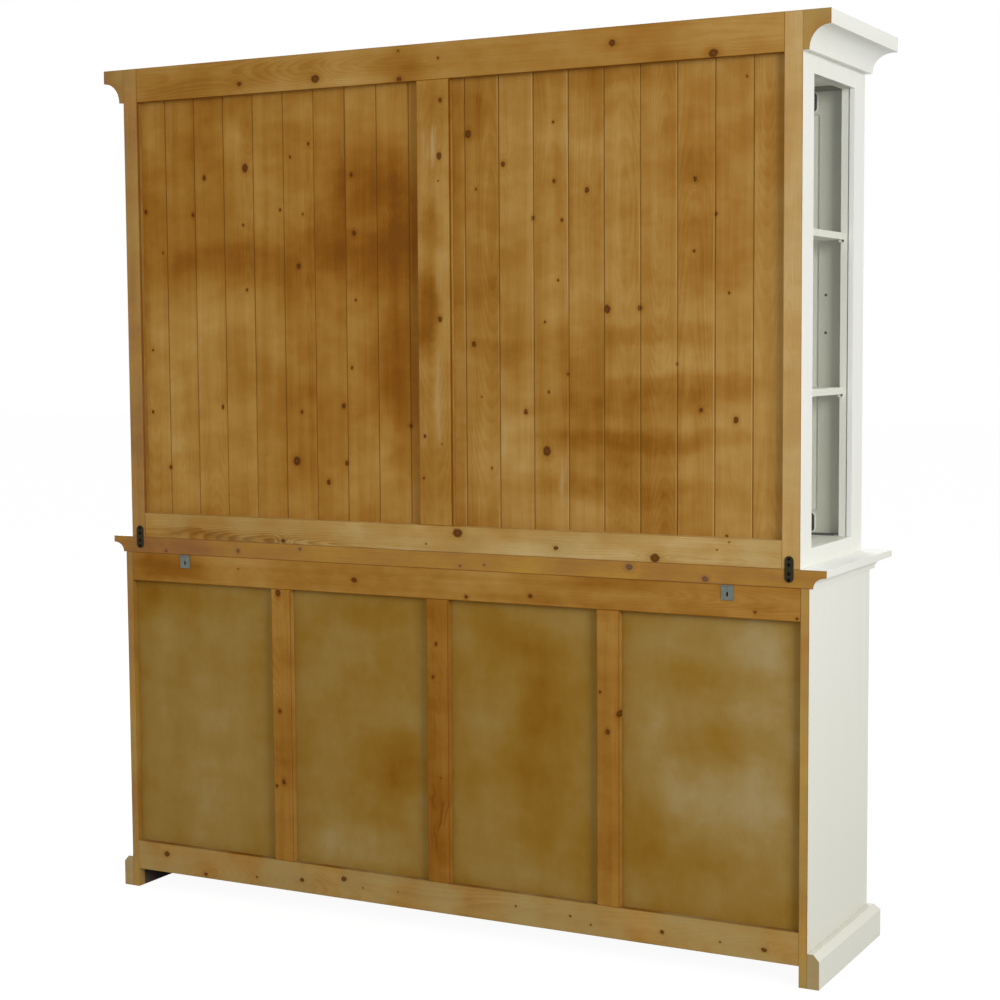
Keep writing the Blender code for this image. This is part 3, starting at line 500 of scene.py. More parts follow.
for name, pattern in backRails.items():
    wear(name, pine(name, **pattern))
print("back rails and stiles stained")


# the tongued boards of the hutch back
boardLayout = {
    "firstSeam": 0.079,
    "pitch": 0.0927,
    "thick": 0.010,
    "depth": 0.0183,  # how far their rear faces lie behind the rails
    "grooveDirtAndShade": (0.120, 0.048, 0.003),
    # the colour of a painted highlight along one side of each groove
    "arrisHighlight": (0.460, 0.305, 0.125),
    "redder": (0.98, 0.92, 0.76),  # the half away from the glazed end took a redder stain
    "seam": (0.0026, 0.0008),  # from its outer to its full darkness, away from the groove's middle
    "seamShare": (0.36, 0.22),  # everywhere, and more in patches
    "seamPatches": ((4.0, 4.0, 1.6), 2.0),
    "highlightFrom": (0.0012, 0.0026),
    "highlightTo": (0.0056, 0.0032),
    "highlightShare": 0.62,
    "highlightPatches": ((4.5, 0.7, 2.2), 2.0),
    "redderFrom": (-0.10, 0.10),
    "seamFades": (0.32, 0.62),
    "highlightFades": (0.38, 0.62),
    "firstNumber": 3,  # each board draws its grain by its number
    "otherHalf": 20,
    "stepAside": 0.37,
    "stepAlong": 5.3,
    "blotStep": 0.02,
    "blotDrop": 0.09,
}
boardMarks = {
    "knots": (
        (245, 168, 11), (204, 178, 7), (146, 212, 6), (351, 175, 6), (354, 233, 7), (299, 266, 7),
        (247, 290, 5), (308, 144, 5), (290, 157, 4), (163, 253, 4), (280, 210, 5), (303, 214, 4),
        (193, 215, 6), (356, 300, 4), (243, 225, 4), (223, 407, 6), (171, 467, 6), (302, 412, 5),
        (344, 406, 7), (297, 461, 12), (347, 463, 7), (329, 482, 7), (352, 368, 5), (153, 350, 4),
        (153, 412, 5), (411, 426, 6), (468, 134, 10), (503, 164, 7), (554, 181, 6), (587, 190, 7),
        (553, 122, 4), (533, 218, 6), (562, 220, 5), (695, 179, 6), (694, 251, 4), (607, 309, 10),
        (640, 308, 7), (545, 322, 4), (476, 189, 4), (558, 280, 4), (716, 214, 5), (747, 76, 4),
        (474, 344, 7), (482, 397, 3), (526, 412, 7), (547, 451, 12), (492, 468, 4), (701, 410, 6),
        (736, 420, 8), (677, 364, 4), (729, 293, 4), (568, 374, 4), (549, 392, 4), (727, 536, 4),
    ),
    "stains": (
        (375, 215, 80, 70, 0.37), (300, 262, 90, 34, 0.19), (215, 262, 60, 20, 0.14),
        (320, 160, 60, 34, 0.08), (400, 330, 28, 170, 0.24), (300, 370, 26, 120, 0.10),
        (190, 330, 50, 60, -0.10), (240, 130, 40, 40, -0.12), (370, 120, 60, 26, 0.02),
        (470, 110, 20, 30, 0.12), (540, 90, 60, 24, 0.05), (590, 75, 30, 50, 0.06),
        (660, 330, 110, 16, 0.16), (690, 388, 90, 16, 0.22), (620, 405, 130, 14, 0.16),
        (640, 440, 130, 12, 0.20), (600, 488, 150, 16, 0.14), (700, 210, 40, 90, 0.05),
        (600, 130, 60, 40, -0.06), (740, 150, 30, 80, -0.12), (500, 350, 50, 14, 0.12),
        (510, 480, 50, 60, -0.02), (360, 450, 60, 60, -0.04), (620, 480, 12, 60, 0.12),
        (232, 142, 13, 24, -0.13), (176, 430, 10, 80, -0.15), (150, 400, 9, 100, -0.05),
        (385, 452, 9, 50, -0.12), (345, 502, 14, 16, -0.09), (150, 120, 14, 30, -0.08),
        (600, 95, 60, 10, -0.08), (240, 345, 30, 24, 0.06),
    ),
    "bareSpots": ((564, 478, 4, 30, 0.4), (170, 130, 3, 60, 0.12), (343, 150, 1.5, 20, 0.25)),
}


def boardsFinish():
    finish = Finish("stained tongued boards")
    colour, rough, height = pinePattern(
        finish, tone=0.427, cloud=0.80, boards=boardLayout, depth=boardLayout["depth"], **boardMarks)
    fromSeam = ((abs(finish.x) - boardLayout["firstSeam"]) / boardLayout["pitch"] + 0.5).part() - 0.5
    seam = (abs(fromSeam) * boardLayout["pitch"]).fade(*boardLayout["seam"])
    colour = finish.blend(
        finish.x.fade(*boardLayout["redderFrom"]), colour,
        finish.vector("MULTIPLY", colour, boardLayout["redder"]))
    # the grooves are darkened, partly for the dirt in them and partly as painted shade
    kept = finish.noise(finish.place, *boardLayout["seamPatches"]).fade(*boardLayout["seamFades"])
    least, more = boardLayout["seamShare"]
    colour = finish.blend(seam * (least + kept * more), colour, boardLayout["grooveDirtAndShade"])
    # painted highlight: one arris of each groove is painted pale as if lit, on the half next to the
    # glazed end
    beside = fromSeam * boardLayout["pitch"] * ((finish.x > 0) * 2 - 1)
    rubbed = beside.fade(*boardLayout["highlightFrom"]) * beside.fade(*boardLayout["highlightTo"])
    highlightKept = finish.noise(finish.place, *boardLayout["highlightPatches"]).fade(*boardLayout["highlightFades"])
    rubbed = rubbed * highlightKept * (finish.x < 0) * boardLayout["highlightShare"]
    colour = finish.blend(rubbed, colour, boardLayout["arrisHighlight"])
    innerFace = rearPlane - boardLayout["depth"] - boardLayout["thick"]
    return finish.done(*paintedInside(finish, innerFace, colour, rough, height),
                       reach=pineStain["bump"], Specular_IOR_Level=pineStain["shine"])


whitePaint = {
    "clean": (0.815, 0.820, 0.762),
    "yellowed": (0.760, 0.755, 0.665),
    "shadeNearFloor": (0.700, 0.690, 0.590),
    "paintedLight": (0.930, 0.935, 0.915),  # painted light: whiter paint on the worktop's top and on the window reveals, to make them look more lit
    # a dark colour that serves both for real dirt and for painted shade
    "dirtAndShade": (0.560, 0.555, 0.480),
    "roughness": 0.44,
    "bump": 0.0002,
    "clouds": ((3.0, 3.0, 2.2), 3.0, 0.55),
    "brushed": ((230.0, 5.0, 1.0), 2.0),
    "bands": ((28.0, 1.2, 1.0), 2.0),
    "specks": ((190.0,) * 3, 2.0, 0.6),
    "shadeFrom": (1.40, 0.15, 0.85),  # painted shade, darker towards the floor: from this height down to this one, by this share
    # a second step of painted shade, nearest the floor
    "deeperShadeFrom": (0.50, 0.05, 0.22),
    "speckFades": (0.76, 0.82),
    "speckShare": 0.35,
    "yellowBy": (1.1, 0.6, 0.35, 0.22),  # by clouds, bands and brush marks, and everywhere
    "roughBy": (0.12, 0.08),  # by bands and brush marks
    "heightBy": (0.6, 0.7),
    "paintedLightTop": 0.6,
    "paintedLightReveal": 0.95,
    "shadedDoorRear": 0.62,
    "smoothInside": 0.4,  # inner faces are brushed less
    "seedStep": 1.9,  # from piece to piece
}


def paintPattern(finish, grain, seed=0.0):
    run, side = (finish.z, finish.x + finish.y) if grain == "z" else (finish.x + finish.y, finish.z)
    inGrain = finish.join(side, run, seed)
    clouds = finish.noise(finish.place, *whitePaint["clouds"])
    brushed = finish.noise(inGrain, *whitePaint["brushed"])
    bands = finish.noise(inGrain, *whitePaint["bands"])
    specks = finish.noise(finish.place, *whitePaint["specks"]).fade(*whitePaint["speckFades"])
    byClouds, byBands, byBrush, everywhere = whitePaint["yellowBy"]
    amount = (clouds - 0.5) * byClouds + (bands - 0.5) * byBands + (brushed - 0.5) * byBrush + everywhere
    colour = finish.blend(amount.most(0.0).least(1.0), whitePaint["clean"], whitePaint["yellowed"])
    # painted shade: the paint darkens towards the floor in two steps
    for reach, shadeColour in (("shadeFrom", "shadeNearFloor"), ("deeperShadeFrom", "dirtAndShade")):
        top, bottom, share = whitePaint[reach]
        colour = finish.blend(finish.z.fade(top, bottom) * share, colour, whitePaint[shadeColour])
    colour = finish.blend(specks * whitePaint["speckShare"], colour, whitePaint["dirtAndShade"])
    byBands, byBrush = whitePaint["roughBy"]
    rough = whitePaint["roughness"] + (bands - 0.5) * byBands + (brushed - 0.5) * byBrush
    byBands, byBrush = whitePaint["heightBy"]
    return colour, rough, brushed * byBrush + bands * byBands


def laidOver(finish, mask, under, over):  # colour, roughness and height of two finishes, over at mask 1
    rough, height = (under[number] * (1 - mask) + over[number] * mask for number in (1, 2))
    return finish.blend(mask, under[0], over[0]), rough, height


def paintedInside(finish, innerFace, *stained):  # stained outside, white on the inner face
    inside = finish.y < innerFace + faceSlack
    white, rough, height = paintPattern(finish, "z")
    return laidOver(finish, inside, stained, (white, rough, height * whitePaint["smoothInside"]))


wear("hutch_back_boards", boardsFinish())
print("boards stained")


glassBite = 0.008  # how deep each pane sits in its frame
# stile width and rail width to where a hairline shows in the paint
doorJoints = {"sliding_door": (0.062, 0.064), "base_door": (0.068, 0.068)}
hairline = {"edge": (0.0006, 0.0002), "share": 0.5, "deep": 2.0}


def painted(name, grain, seed):
    finish = Finish(name)
    colour, rough, height = paintPattern(finish, grain, seed)
    if name.startswith("sliding_door"):  # their inner side is painted darker, as painted shade
        rear = finish.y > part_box(name)[1].y - faceSlack
        colour = finish.blend(rear * whitePaint["shadedDoorRear"], colour, whitePaint["dirtAndShade"])
    rawAndShade = belowFloor(finish) if name in ("base_floor", "base_face_frame") else None
    for start, (stile, rail) in doorJoints.items():
        if name.startswith(start):
            low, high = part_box(name)
            fromSide = (finish.x - low.x).least(high.x - finish.x)
            fromEnd = (finish.z - low.z).least(high.z - finish.z)
            crack = abs(fromSide - stile).fade(*hairline["edge"]) * (fromEnd < rail)
            colour = finish.blend(crack * hairline["share"], colour, whitePaint["dirtAndShade"])
            height = height - crack * hairline["deep"]
    return finish.done(colour, rough, height, reach=whitePaint["bump"], rawAndShade=rawAndShade)


def belowFloor(finish):  # 1 on what faces the hollow under the base floor
    low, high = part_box("base_end_left")[0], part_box("base_end_right")[1]
    inward = underneath["inFromEdge"]
    inside = (abs(finish.x) < high.x - inward) * (finish.y > low.y + inward)
    return inside * (finish.z < underneath["below"])


sunkBack = {"deep": 0.0235, "slack": 0.0009, "bump": 0.00025}


# pieces painted outside whose rear edge is stained with the back
def paintedWithStainedRear(name, paintGrain, underSatin=pineStain["underSatin"], **pattern):
    finish = Finish(name)
    stain, *stainedFeel = pinePattern(finish, box=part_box(name), **pattern)
    white, *paintFeel = paintPattern(finish, paintGrain)
    paintedLight = None
    # painted light: the worktop's top and the window reveals get the whiter paint
    if name == "worktop":
        paintedLight = (finish.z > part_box(name)[1].z - faceSlack) * whitePaint["paintedLightTop"]
    if name.startswith("hutch_end"):
        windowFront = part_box(name.replace("hutch_end", "end_glass"))[0].y + glassBite
        paintedLight = (abs(finish.y - windowFront) < faceSlack) * whitePaint["paintedLightReveal"]
    if paintedLight:
        white = finish.blend(paintedLight, white, whitePaint["paintedLight"])
    rear = finish.y > rearPlane - faceSlack
    if name.startswith(("hutch_end", "base_end")):  # the stain runs round into the sunk back
        rail = "hutch_back_top_rail" if name.startswith("hutch") else "base_back_top_rail"
        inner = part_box(rail)[1].x + sunkBack["slack"]
        rear = rear.most((abs(finish.x) < inner) * (finish.y > rearPlane - sunkBack["deep"]))
    stain = finish.vector("MULTIPLY", stain, underSatin)
    rawAndShade = belowFloor(finish) * (1 - rear) if name.startswith(("base_end", "plinth")) else None
    return finish.done(*laidOver(finish, rear, (white, *paintFeel), (stain, *stainedFeel)),
                       reach=sunkBack["bump"], rawAndShade=rawAndShade)


stainedRears = {
    "hutch_end_left": {
        "paintGrain": "z", "grain": "z", "seed": 11.3, "tone": 0.19, "haze": 0.2, "cloud": 0.6,
        "turned": 0.60, "underSatin": (0.99, 0.97, 0.86),
    },
    "hutch_end_right": {
        "paintGrain": "z", "grain": "z", "seed": 12.1, "tone": 0.53, "haze": 0.2, "cloud": 0.6,
        "turned": 0.60, "underSatin": (0.95, 0.95, 0.60),
    },
    "base_end_left": {"paintGrain": "z", "grain": "z", "seed": 13.7, "tone": 0.47, "haze": 0.4},
    "base_end_right": {"paintGrain": "z", "grain": "z", "seed": 14.9, "tone": 0.57, "haze": 0.3},
    "cornice": {"paintGrain": "x", "grain": "z", "seed": 15.2, "tone": 0.58, "haze": 0.5},
    "plinth": {"paintGrain": "x", "grain": "x", "seed": 16.5, "tone": 0.47, "haze": 0.8,
               "underSatin": (0.90, 0.99, 1.20)},
    "worktop": {
        "paintGrain": "x", "grain": "x", "seed": 17.4, "tone": 0.54, "underSatin": (0.97, 0.96, 0.12),
        "knots": ((166, 551, 5), (238, 551, 6), (300, 549, 5), (460, 566, 4), (484, 565, 4),
                  (629, 567, 9), (705, 579, 8)),
        "stains": ((180, 548, 60, 10, 0.12), (700, 575, 90, 10, -0.05)),
    },
}
for name, pattern in stainedRears.items():
    wear(name, paintedWithStainedRear(name, **pattern))
print("painted ends with stained rears done")


# the thin sheet behind the base
sheetStain = {
    "stops": (
        (0.00, (0.345, 0.255, 0.110)),
        (0.30, (0.290, 0.180, 0.044)),
        (0.55, (0.256, 0.136, 0.017)),
        (0.80, (0.220, 0.098, 0.005)),
        (1.00, (0.140, 0.052, 0.002)),
    ),
    "depth": 0.0183,
    "tone": 0.47,
    "roughness": 0.58,
    "smearsRougher": 0.2,
    "bump": 0.0002,
    "ragged": 0.09,
    "clouds": ((4.2, 4.2, 5.2), 5.0, 0.6),
    "smears": ((13.0, 13.0, 5.0), 4.0, 0.6),
    "wiped": ((4.0, 4.0, 16.0), 3.0),
    "pores": ((420.0, 420.0, 60.0), 1.0),
    "shares": {"clouds": 0.85, "smears": 0.38, "wiped": 0.10, "pores": 0.09},
    "stains": (
        (205, 730, 60, 110, -0.14), (715, 740, 90, 150, -0.19), (770, 720, 36, 170, -0.10),
        (150, 600, 14, 60, 0.20), (205, 720, 90, 60, -0.02), (160, 640, 26, 30, -0.22),
        (240, 640, 30, 26, -0.12), (200, 820, 70, 40, -0.12), (200, 600, 60, 16, 0.06),
        (360, 612, 60, 18, 0.12), (395, 760, 34, 40, 0.30), (345, 720, 50, 60, 0.04),
        (370, 850, 60, 26, -0.20), (310, 680, 14, 60, 0.02), (380, 690, 30, 50, -0.08),
        (520, 640, 60, 24, 0.14), (540, 740, 34, 110, 0.26), (480, 700, 24, 90, -0.08),
        (510, 870, 40, 30, -0.10), (470, 640, 16, 26, -0.08), (580, 800, 14, 80, 0.06),
        (700, 680, 60, 22, 0.16), (710, 740, 60, 26, 0.22), (660, 640, 30, 24, -0.14),
        (760, 650, 30, 30, -0.18), (700, 860, 90, 20, 0.10), (700, 800, 70, 24, -0.14),
        (760, 800, 30, 60, -0.10), (640, 820, 20, 60, 0.06), (700, 910, 80, 16, 0.02),
    ),
}


def sheetFinish():
    finish = Finish("olive stained sheet")
    layers = {layer: finish.noise(finish.place, *sheetStain[layer]) for layer in sheetStain["shares"]}
    amount = sheetStain["tone"]
    for layer, share in sheetStain["shares"].items():
        amount = amount + (layers[layer] - 0.5) * share
    amount = amount + spots(finish, sheetStain["stains"], sheetStain["depth"], sheetStain["ragged"])
    colour = finish.shades(amount, sheetStain["stops"])
    rough = sheetStain["roughness"] + (layers["smears"] - 0.5) * sheetStain["smearsRougher"]
    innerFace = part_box("base_back_sheet")[0].y
    return finish.done(*paintedInside(finish, innerFace, colour, rough, layers["pores"]),
                       reach=sheetStain["bump"], Specular_IOR_Level=pineStain["shine"])


wear("base_back_sheet", sheetFinish())
print("sheet stained")


# white painted pieces
paintedPieces = {
    "z": ("hutch_partition", "hutch_face_frame", "base_partition", "base_face_frame", "sliding_door_left",
          "sliding_door_right", "base_door_1", "base_door_2", "base_door_3", "base_door_4"),
    "x": ("hutch_roof", "hutch_floor", "hutch_shelf_lower_left", "hutch_shelf_lower_right",
          "hutch_shelf_upper_left", "hutch_shelf_upper_right", "base_floor", "base_shelf_left",
          "base_shelf_right"),
}
for grain, names in paintedPieces.items():
    for number, name in enumerate(names):
        wear(name, painted(name, grain, number * whitePaint["seedStep"]))
print("painted pieces done")


glassTints = {
    "smudges": ((6.0,) * 3, 3.0),
    "smudgeFades": (0.5, 0.8),
    "smudgeRough": 0.02,
    # the photo shows no mirrored sky in the end panes, so they bend and mirror less than real glass
    "end": {"seen": (0.97, 0.97, 0.96), "lit": (0.95, 0.95, 0.92), "bend": 1.05},
    "door": {"seen": (0.86, 0.88, 0.86), "lit": (0.45, 0.46, 0.40), "bend": 1.45},
}


def glassFinish(name, tints):
    finish = Finish(name)
    smudge = finish.noise(finish.place, *glassTints["smudges"]).fade(*glassTints["smudgeFades"])
    shader = finish.node("ShaderNodeBsdfPrincipled", {}, {
        "Base Color": tints["seen"], "Roughness": smudge * glassTints["smudgeRough"],
        "IOR": tints["bend"], "Transmission Weight": 1.0})
    clear = finish.node("ShaderNodeBsdfTransparent", {}, {"Color": tints["lit"]})
    through = finish.anyRay("Is Shadow Ray", "Is Diffuse Ray")
    return finish.close(finish.node("ShaderNodeMixShader", {}, {0: through, 1: shader, 2: clear}))


blackWear = {
    "rubbed": ((90.0,) * 3, 3.0), "fades": (0.5, 0.75), "share": 0.6, "rougher": 0.2,
    "grains": ((900.0,) * 3, 1.0), "bump": 0.0001,
}


def blackFinish(name, rough, shine, colour=(0.014, 0.013, 0.012), worn=(0.045, 0.040, 0.034)):
    finish = Finish(name)
    rubbed = finish.noise(finish.place, *blackWear["rubbed"]).fade(*blackWear["fades"])
    grains = finish.noise(finish.place, *blackWear["grains"])
    colour = finish.blend(rubbed * blackWear["share"], colour, worn)
    return finish.done(colour, rough + rubbed * blackWear["rougher"], grains, reach=blackWear["bump"],
                       Specular_IOR_Level=shine)


zincPlating = {
    "spangles": 260.0, "dull": ((60.0,) * 3, 3.0), "dark": (0.078, 0.094, 0.076),
    "light": (0.165, 0.188, 0.165), "roughness": 0.45, "rougher": 0.25, "bump": 0.00005, "metal": 0.3,
}


def zincFinish():
    finish = Finish("zinc plated steel")
    spangle = finish.node(
        "ShaderNodeTexVoronoi", {}, {"Vector": finish.place, "Scale": zincPlating["spangles"]}, "Color")
    tone = finish.split(spangle)[0]
    dull = finish.noise(finish.place, *zincPlating["dull"])
    colour = finish.blend(tone * 0.5 + dull * 0.5, zincPlating["dark"], zincPlating["light"])
    rough = zincPlating["roughness"] + dull * zincPlating["rougher"]
    return finish.done(colour, rough, tone, reach=zincPlating["bump"], Metallic=zincPlating["metal"])


endGlass = glassFinish("clear end glass", glassTints["end"])
doorGlass = glassFinish("clear door glass", glassTints["door"])
black = blackFinish("black steel", rough=0.36, shine=0.5)
japanned = blackFinish("black japanned plate", rough=0.50, shine=0.12, colour=(0.018, 0.017, 0.006),
                       worn=(0.055, 0.057, 0.040))
rusty = blackFinish("rusty black screws", rough=0.60, shine=0.05, colour=(0.008, 0.004, 0.001),
                    worn=(0.060, 0.022, 0.010))
zinc = zincFinish()
for name in nodes:
    if "glass" in name:
        wear(name, endGlass if name.startswith("end") else doorGlass)
    elif name.startswith("joining_plate"):
        wear(name, japanned)
    elif name.startswith(("base_hinge", "base_knob", "door_pull")):
        wear(name, black)
    elif name.startswith("wall_plate"):
        wear(name, zinc)
print("glass and metal done")


weld = 0.000001
smoothBelow = math.radians(35)  # newly made pieces are smooth where they bend less


def newPiece(name, bm, material, body, smooth=False):
    bmesh.ops.remove_doubles(bm, verts=bm.verts, dist=weld)
    bmesh.ops.recalc_face_normals(bm, faces=bm.faces)
    openEdges = [edge for edge in bm.edges if not edge.is_manifold]
    if openEdges:
        print("open edges in", name, len(openEdges))
    mesh = bpy.data.meshes.new(name)
    bm.to_mesh(mesh)
    bm.free()
    if smooth:
        mesh.shade_smooth()
        mesh.set_sharp_from_angle(angle=smoothBelow)
    mesh.materials.append(material)
    piece = bpy.data.objects.new(name, mesh)
    bpy.context.scene.collection.objects.link(piece)
    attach(piece, body)


def facing(place, direction=(0, 1, 0)):  # local z turned to a direction, the rear unless said, y upright
    out = Vector(direction).normalized()
    up = Vector((0, 0, 1))
    side = up.cross(out)
    turned = Matrix((side, up, out)).transposed().to_4x4()
    return Matrix.Translation(place) @ turned


def panel(wide, tall):  # flat, lying in local x and y
    bm = bmesh.new()
    bmesh.ops.create_grid(bm, x_segments=1, y_segments=1, size=0.5)
    bmesh.ops.scale(bm, verts=bm.verts, vec=(wide, tall, 1))
    return bm


def thicken(bm, faces, thick):  # along local z; gives what was raised
    grown = bmesh.ops.extrude_face_region(bm, geom=faces)["geom"]
    verts = [item for item in grown if isinstance(item, bmesh.types.BMVert)]
    bmesh.ops.translate(bm, verts=verts, vec=(0, 0, thick))
    return verts, [item for item in grown if isinstance(item, bmesh.types.BMFace)]


def ease(bm, edges, offset, segments):  # rounds edges over
    bmesh.ops.bevel(
        bm, geom=edges, offset=offset, segments=segments, profile=0.5, affect="EDGES", material=-1)


def block(size, bevel, place):
    bm = bmesh.new()
    bmesh.ops.create_cube(bm, size=1)
    bmesh.ops.scale(bm, verts=bm.verts, vec=size)
    ease(bm, bm.edges[:], bevel, 2)
    bmesh.ops.translate(bm, verts=bm.verts, vec=place)
    return bm


def addTo(bm, part):
    spare = bpy.data.meshes.new("spare")
    part.to_mesh(spare)
    part.free()
    bm.from_mesh(spare)
    bpy.data.meshes.remove(spare)


# beads that hold the panes, one ring each
beads = {
    "rear": {"wide": 0.020, "thick": 0.0055, "bevel": 0.0022},
    "front": {"wide": 0.009, "thick": 0.0075, "bevel": 0.0050},
    "slack": 0.0003,
    "near": 0.001,  # nearer than this counts as the same place
}


def beadRing(name, pane, way, bead, body):  # way is 1 behind the pane and -1 in front of it
    low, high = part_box(pane)
    hidden = 2 * (glassBite + beads["slack"])
    wide, tall = high.x - low.x - hidden, high.z - low.z - hidden
    bm = panel(wide, tall)
    bmesh.ops.inset_region(
        bm, faces=bm.faces[:], thickness=bead["wide"], use_boundary=True, use_even_offset=True)
    near = beads["near"]
    middle = [face for face in bm.faces if face.calc_center_median().length < near]
    bmesh.ops.delete(bm, geom=middle, context="FACES_ONLY")
    thicken(bm, bm.faces[:], bead["thick"])
    inner = [edge for edge in bm.edges if all(
        v.co.z > bead["thick"] / 2 and abs(v.co.x) < wide / 2 - near and abs(v.co.y) < tall / 2 - near
        for v in edge.verts)]
    ease(bm, inner, bead["bevel"], 4)
    out = Vector((0, way, 0))
    place = (low + high) / 2 + out * ((high.y - low.y) / 2 + beads["slack"])
    bmesh.ops.transform(bm, matrix=facing(place, out), verts=bm.verts)
    newPiece(name, bm, beadPaint, body)


beadPaint = painted("bead paint", "z", seed=3.0)
for side in ("left", "right"):
    for where, way, bead in (("inside", 1, "rear"), ("outside", -1, "front")):
        beadRing(f"door_bead_{where}_{side}", f"door_glass_{side}", way, beads[bead],
                 f"sliding_door_{side}")
print("glazing beads fitted")


# screws: a domed head turned on a lathe, with a cross pressed into it
screwSizes = {
    "pull": {"radius": 0.0035, "proud": 0.0012},
    "plate": {"radius": 0.0044, "proud": 0.0015},
    "leaf": {"radius": 0.0026, "proud": 0.00012},
    "steps": 24,
    # the head's outline, in shares of its radius and of how far it stands proud
    "outline": ((0, 0.1), (0.30, 0.1), (0.42, 0.98), (0.72, 0.85), (0.93, 0.45), (1, 0)),
    "shank": 0.8,  # share of the radius
    "into": 0.0010,
    "cross": {"from": 0.1, "to": 0.5, "least": 0.45, "more": 0.95},
}


def addScrew(bm, size, matrix, turned):
    head = bmesh.new()
    radius, proud = size["radius"], size["proud"]
    profile = [(radius * across, proud * up) for across, up in screwSizes["outline"]]
    profile += [(radius * screwSizes["shank"], -screwSizes["into"]), (0, -screwSizes["into"])]
    dots = [head.verts.new((across, 0, up)) for across, up in profile]
    lines = [head.edges.new(pair) for pair in zip(dots, dots[1:])]
    bmesh.ops.spin(
        head, geom=dots + lines, cent=(0, 0, 0), axis=(0, 0, 1), dvec=(0, 0, 0), angle=math.tau,
        steps=screwSizes["steps"], use_merge=True)
    bmesh.ops.remove_doubles(head, verts=head.verts, dist=radius * 0.01)
    cross = screwSizes["cross"]
    for vert in head.verts:  # pinch the round socket into a cross
        if radius * cross["from"] < vert.co.xy.length < radius * cross["to"] and vert.co.z > 0:
            lobe = abs(math.cos(2 * math.atan2(vert.co.y, vert.co.x))) ** 2
            vert.co.xy *= cross["least"] + cross["more"] * lobe
    bmesh.ops.transform(head, matrix=matrix @ Matrix.Rotation(turned, 4, "Z"), verts=head.verts)
    addTo(bm, head)


def pill(bm, wide, tall, thick, bevel, matrix, rim=0.0):  # a round-ended plate, its back at local z 0
    made = bmesh.ops.create_circle(bm, cap_ends=True, radius=wide / 2, segments=32)["verts"]
    for vert in made:
        vert.co.y += math.copysign((tall - wide) / 2, vert.co.y)
    moved, top = thicken(bm, list({face for vert in made for face in vert.link_faces}), thick)
    if rim:
        bmesh.ops.inset_region(bm, faces=top, thickness=rim, use_boundary=True, use_even_offset=True)
        bmesh.ops.translate(bm, verts=top[0].verts[:], vec=(0, 0, -thick * guides["sunkShare"]))
    ease(bm, [edge for edge in bm.edges if all(vert in moved for vert in edge.verts)], bevel, 2)
    bmesh.ops.transform(bm, matrix=matrix, verts=bm.verts)


# black guides let into the inner corners of the sliding doors, and the screws of the pulls
guides = {
    "wide": 0.017,
    "tall": 0.045,
    "thick": 0.0018,
    "rim": 0.0025,
    "sunkShare": 0.45,  # how deep the middle lies below the rim
    "bevel": 0.0005,
    "pocketLip": 0.0028,
    "pocketThick": 0.0016,
    "pocketBevel": 0.0003,
    "fromDoorEdge": 0.077,
    "fromTopOrBottom": 0.0255,
    "doorBottom": 1.006,
    "doorTop": 2.073,
}
pullScrews = {"fromDoorEdge": 0.0438, "heights": (1.4936, 1.5847), "turned": 0.4}

for side in ("left", "right"):
    door = f"sliding_door_{side}"
    low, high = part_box(door)
    outer = low.x if side == "left" else high.x
    inward = 1 if side == "left" else -1
    screws = bmesh.new()
    for number, height in enumerate(pullScrews["heights"]):
        place = (outer + inward * pullScrews["fromDoorEdge"], high.y, height)
        addScrew(screws, screwSizes["pull"], facing(place), pullScrews["turned"] + number)
    newPiece(f"door_pull_screws_{side}", screws, black, door, smooth=True)
    for corner, height in (
            ("low", guides["doorBottom"] + guides["fromTopOrBottom"]),
            ("high", guides["doorTop"] - guides["fromTopOrBottom"])):
        for edge, x in (("outer", outer + inward * guides["fromDoorEdge"]),
                        ("inner", outer + inward * (high.x - low.x - guides["fromDoorEdge"]))):
            place = Vector((x, high.y + beads["slack"], height))
            pocket = bmesh.new()
            lips = 2 * guides["pocketLip"]
            pill(pocket, guides["wide"] + lips, guides["tall"] + lips, guides["pocketThick"],
                 guides["pocketBevel"], facing(place))
            where = f"{side}_{corner}_{edge}"
            newPiece(f"guide_pocket_{where}", pocket, beadPaint, door, smooth=True)
            guide = bmesh.new()
            place.y += guides["pocketThick"]
            pill(guide, guides["wide"], guides["tall"], guides["thick"], guides["bevel"],
                 facing(place), rim=guides["rim"])
            newPiece(f"door_guide_{where}", guide, japanned, door, smooth=True)
print("door guides and pull screws fitted")


# felt strips that close the gaps above and below the sliding doors, on their rear side; their black and
# grey partly stand in as painted shade for the dark gaps
felt = {
    "thick": 0.0022, "fromDoor": 0.0007, "intoBoard": 0.0003, "shortOfEnd": 0.002, "bevel": 0.0003,
    "black": (0.045, 0.044, 0.036), "grey": (0.200, 0.206, 0.120), "lint": (0.140, 0.136, 0.110),
    "fuzz": ((1500.0,) * 3, 2.0, 0.7), "tufts": ((260.0,) * 3, 2.0), "tuftFades": (0.62, 0.72),
    "tuftShare": 0.5, "roughness": 0.85, "fuzzRougher": 0.1, "shine": 0.1, "bump": 0.0004,
    "greyBelowTop": 0.1,
}


def feltFinish():
    finish = Finish("felt, black below and grey above the doors")
    fuzz = finish.noise(finish.place, *felt["fuzz"])
    lint = finish.noise(finish.place, *felt["tufts"]).fade(*felt["tuftFades"])
    # black below and grey above, partly as painted shade of the gaps
    upper = finish.z > guides["doorTop"] - felt["greyBelowTop"]
    colour = finish.blend(lint * felt["tuftShare"], finish.blend(upper, felt["black"], felt["grey"]),
                          felt["lint"])
    return finish.done(colour, felt["roughness"] + fuzz * felt["fuzzRougher"], fuzz, reach=felt["bump"],
                       Specular_IOR_Level=felt["shine"])


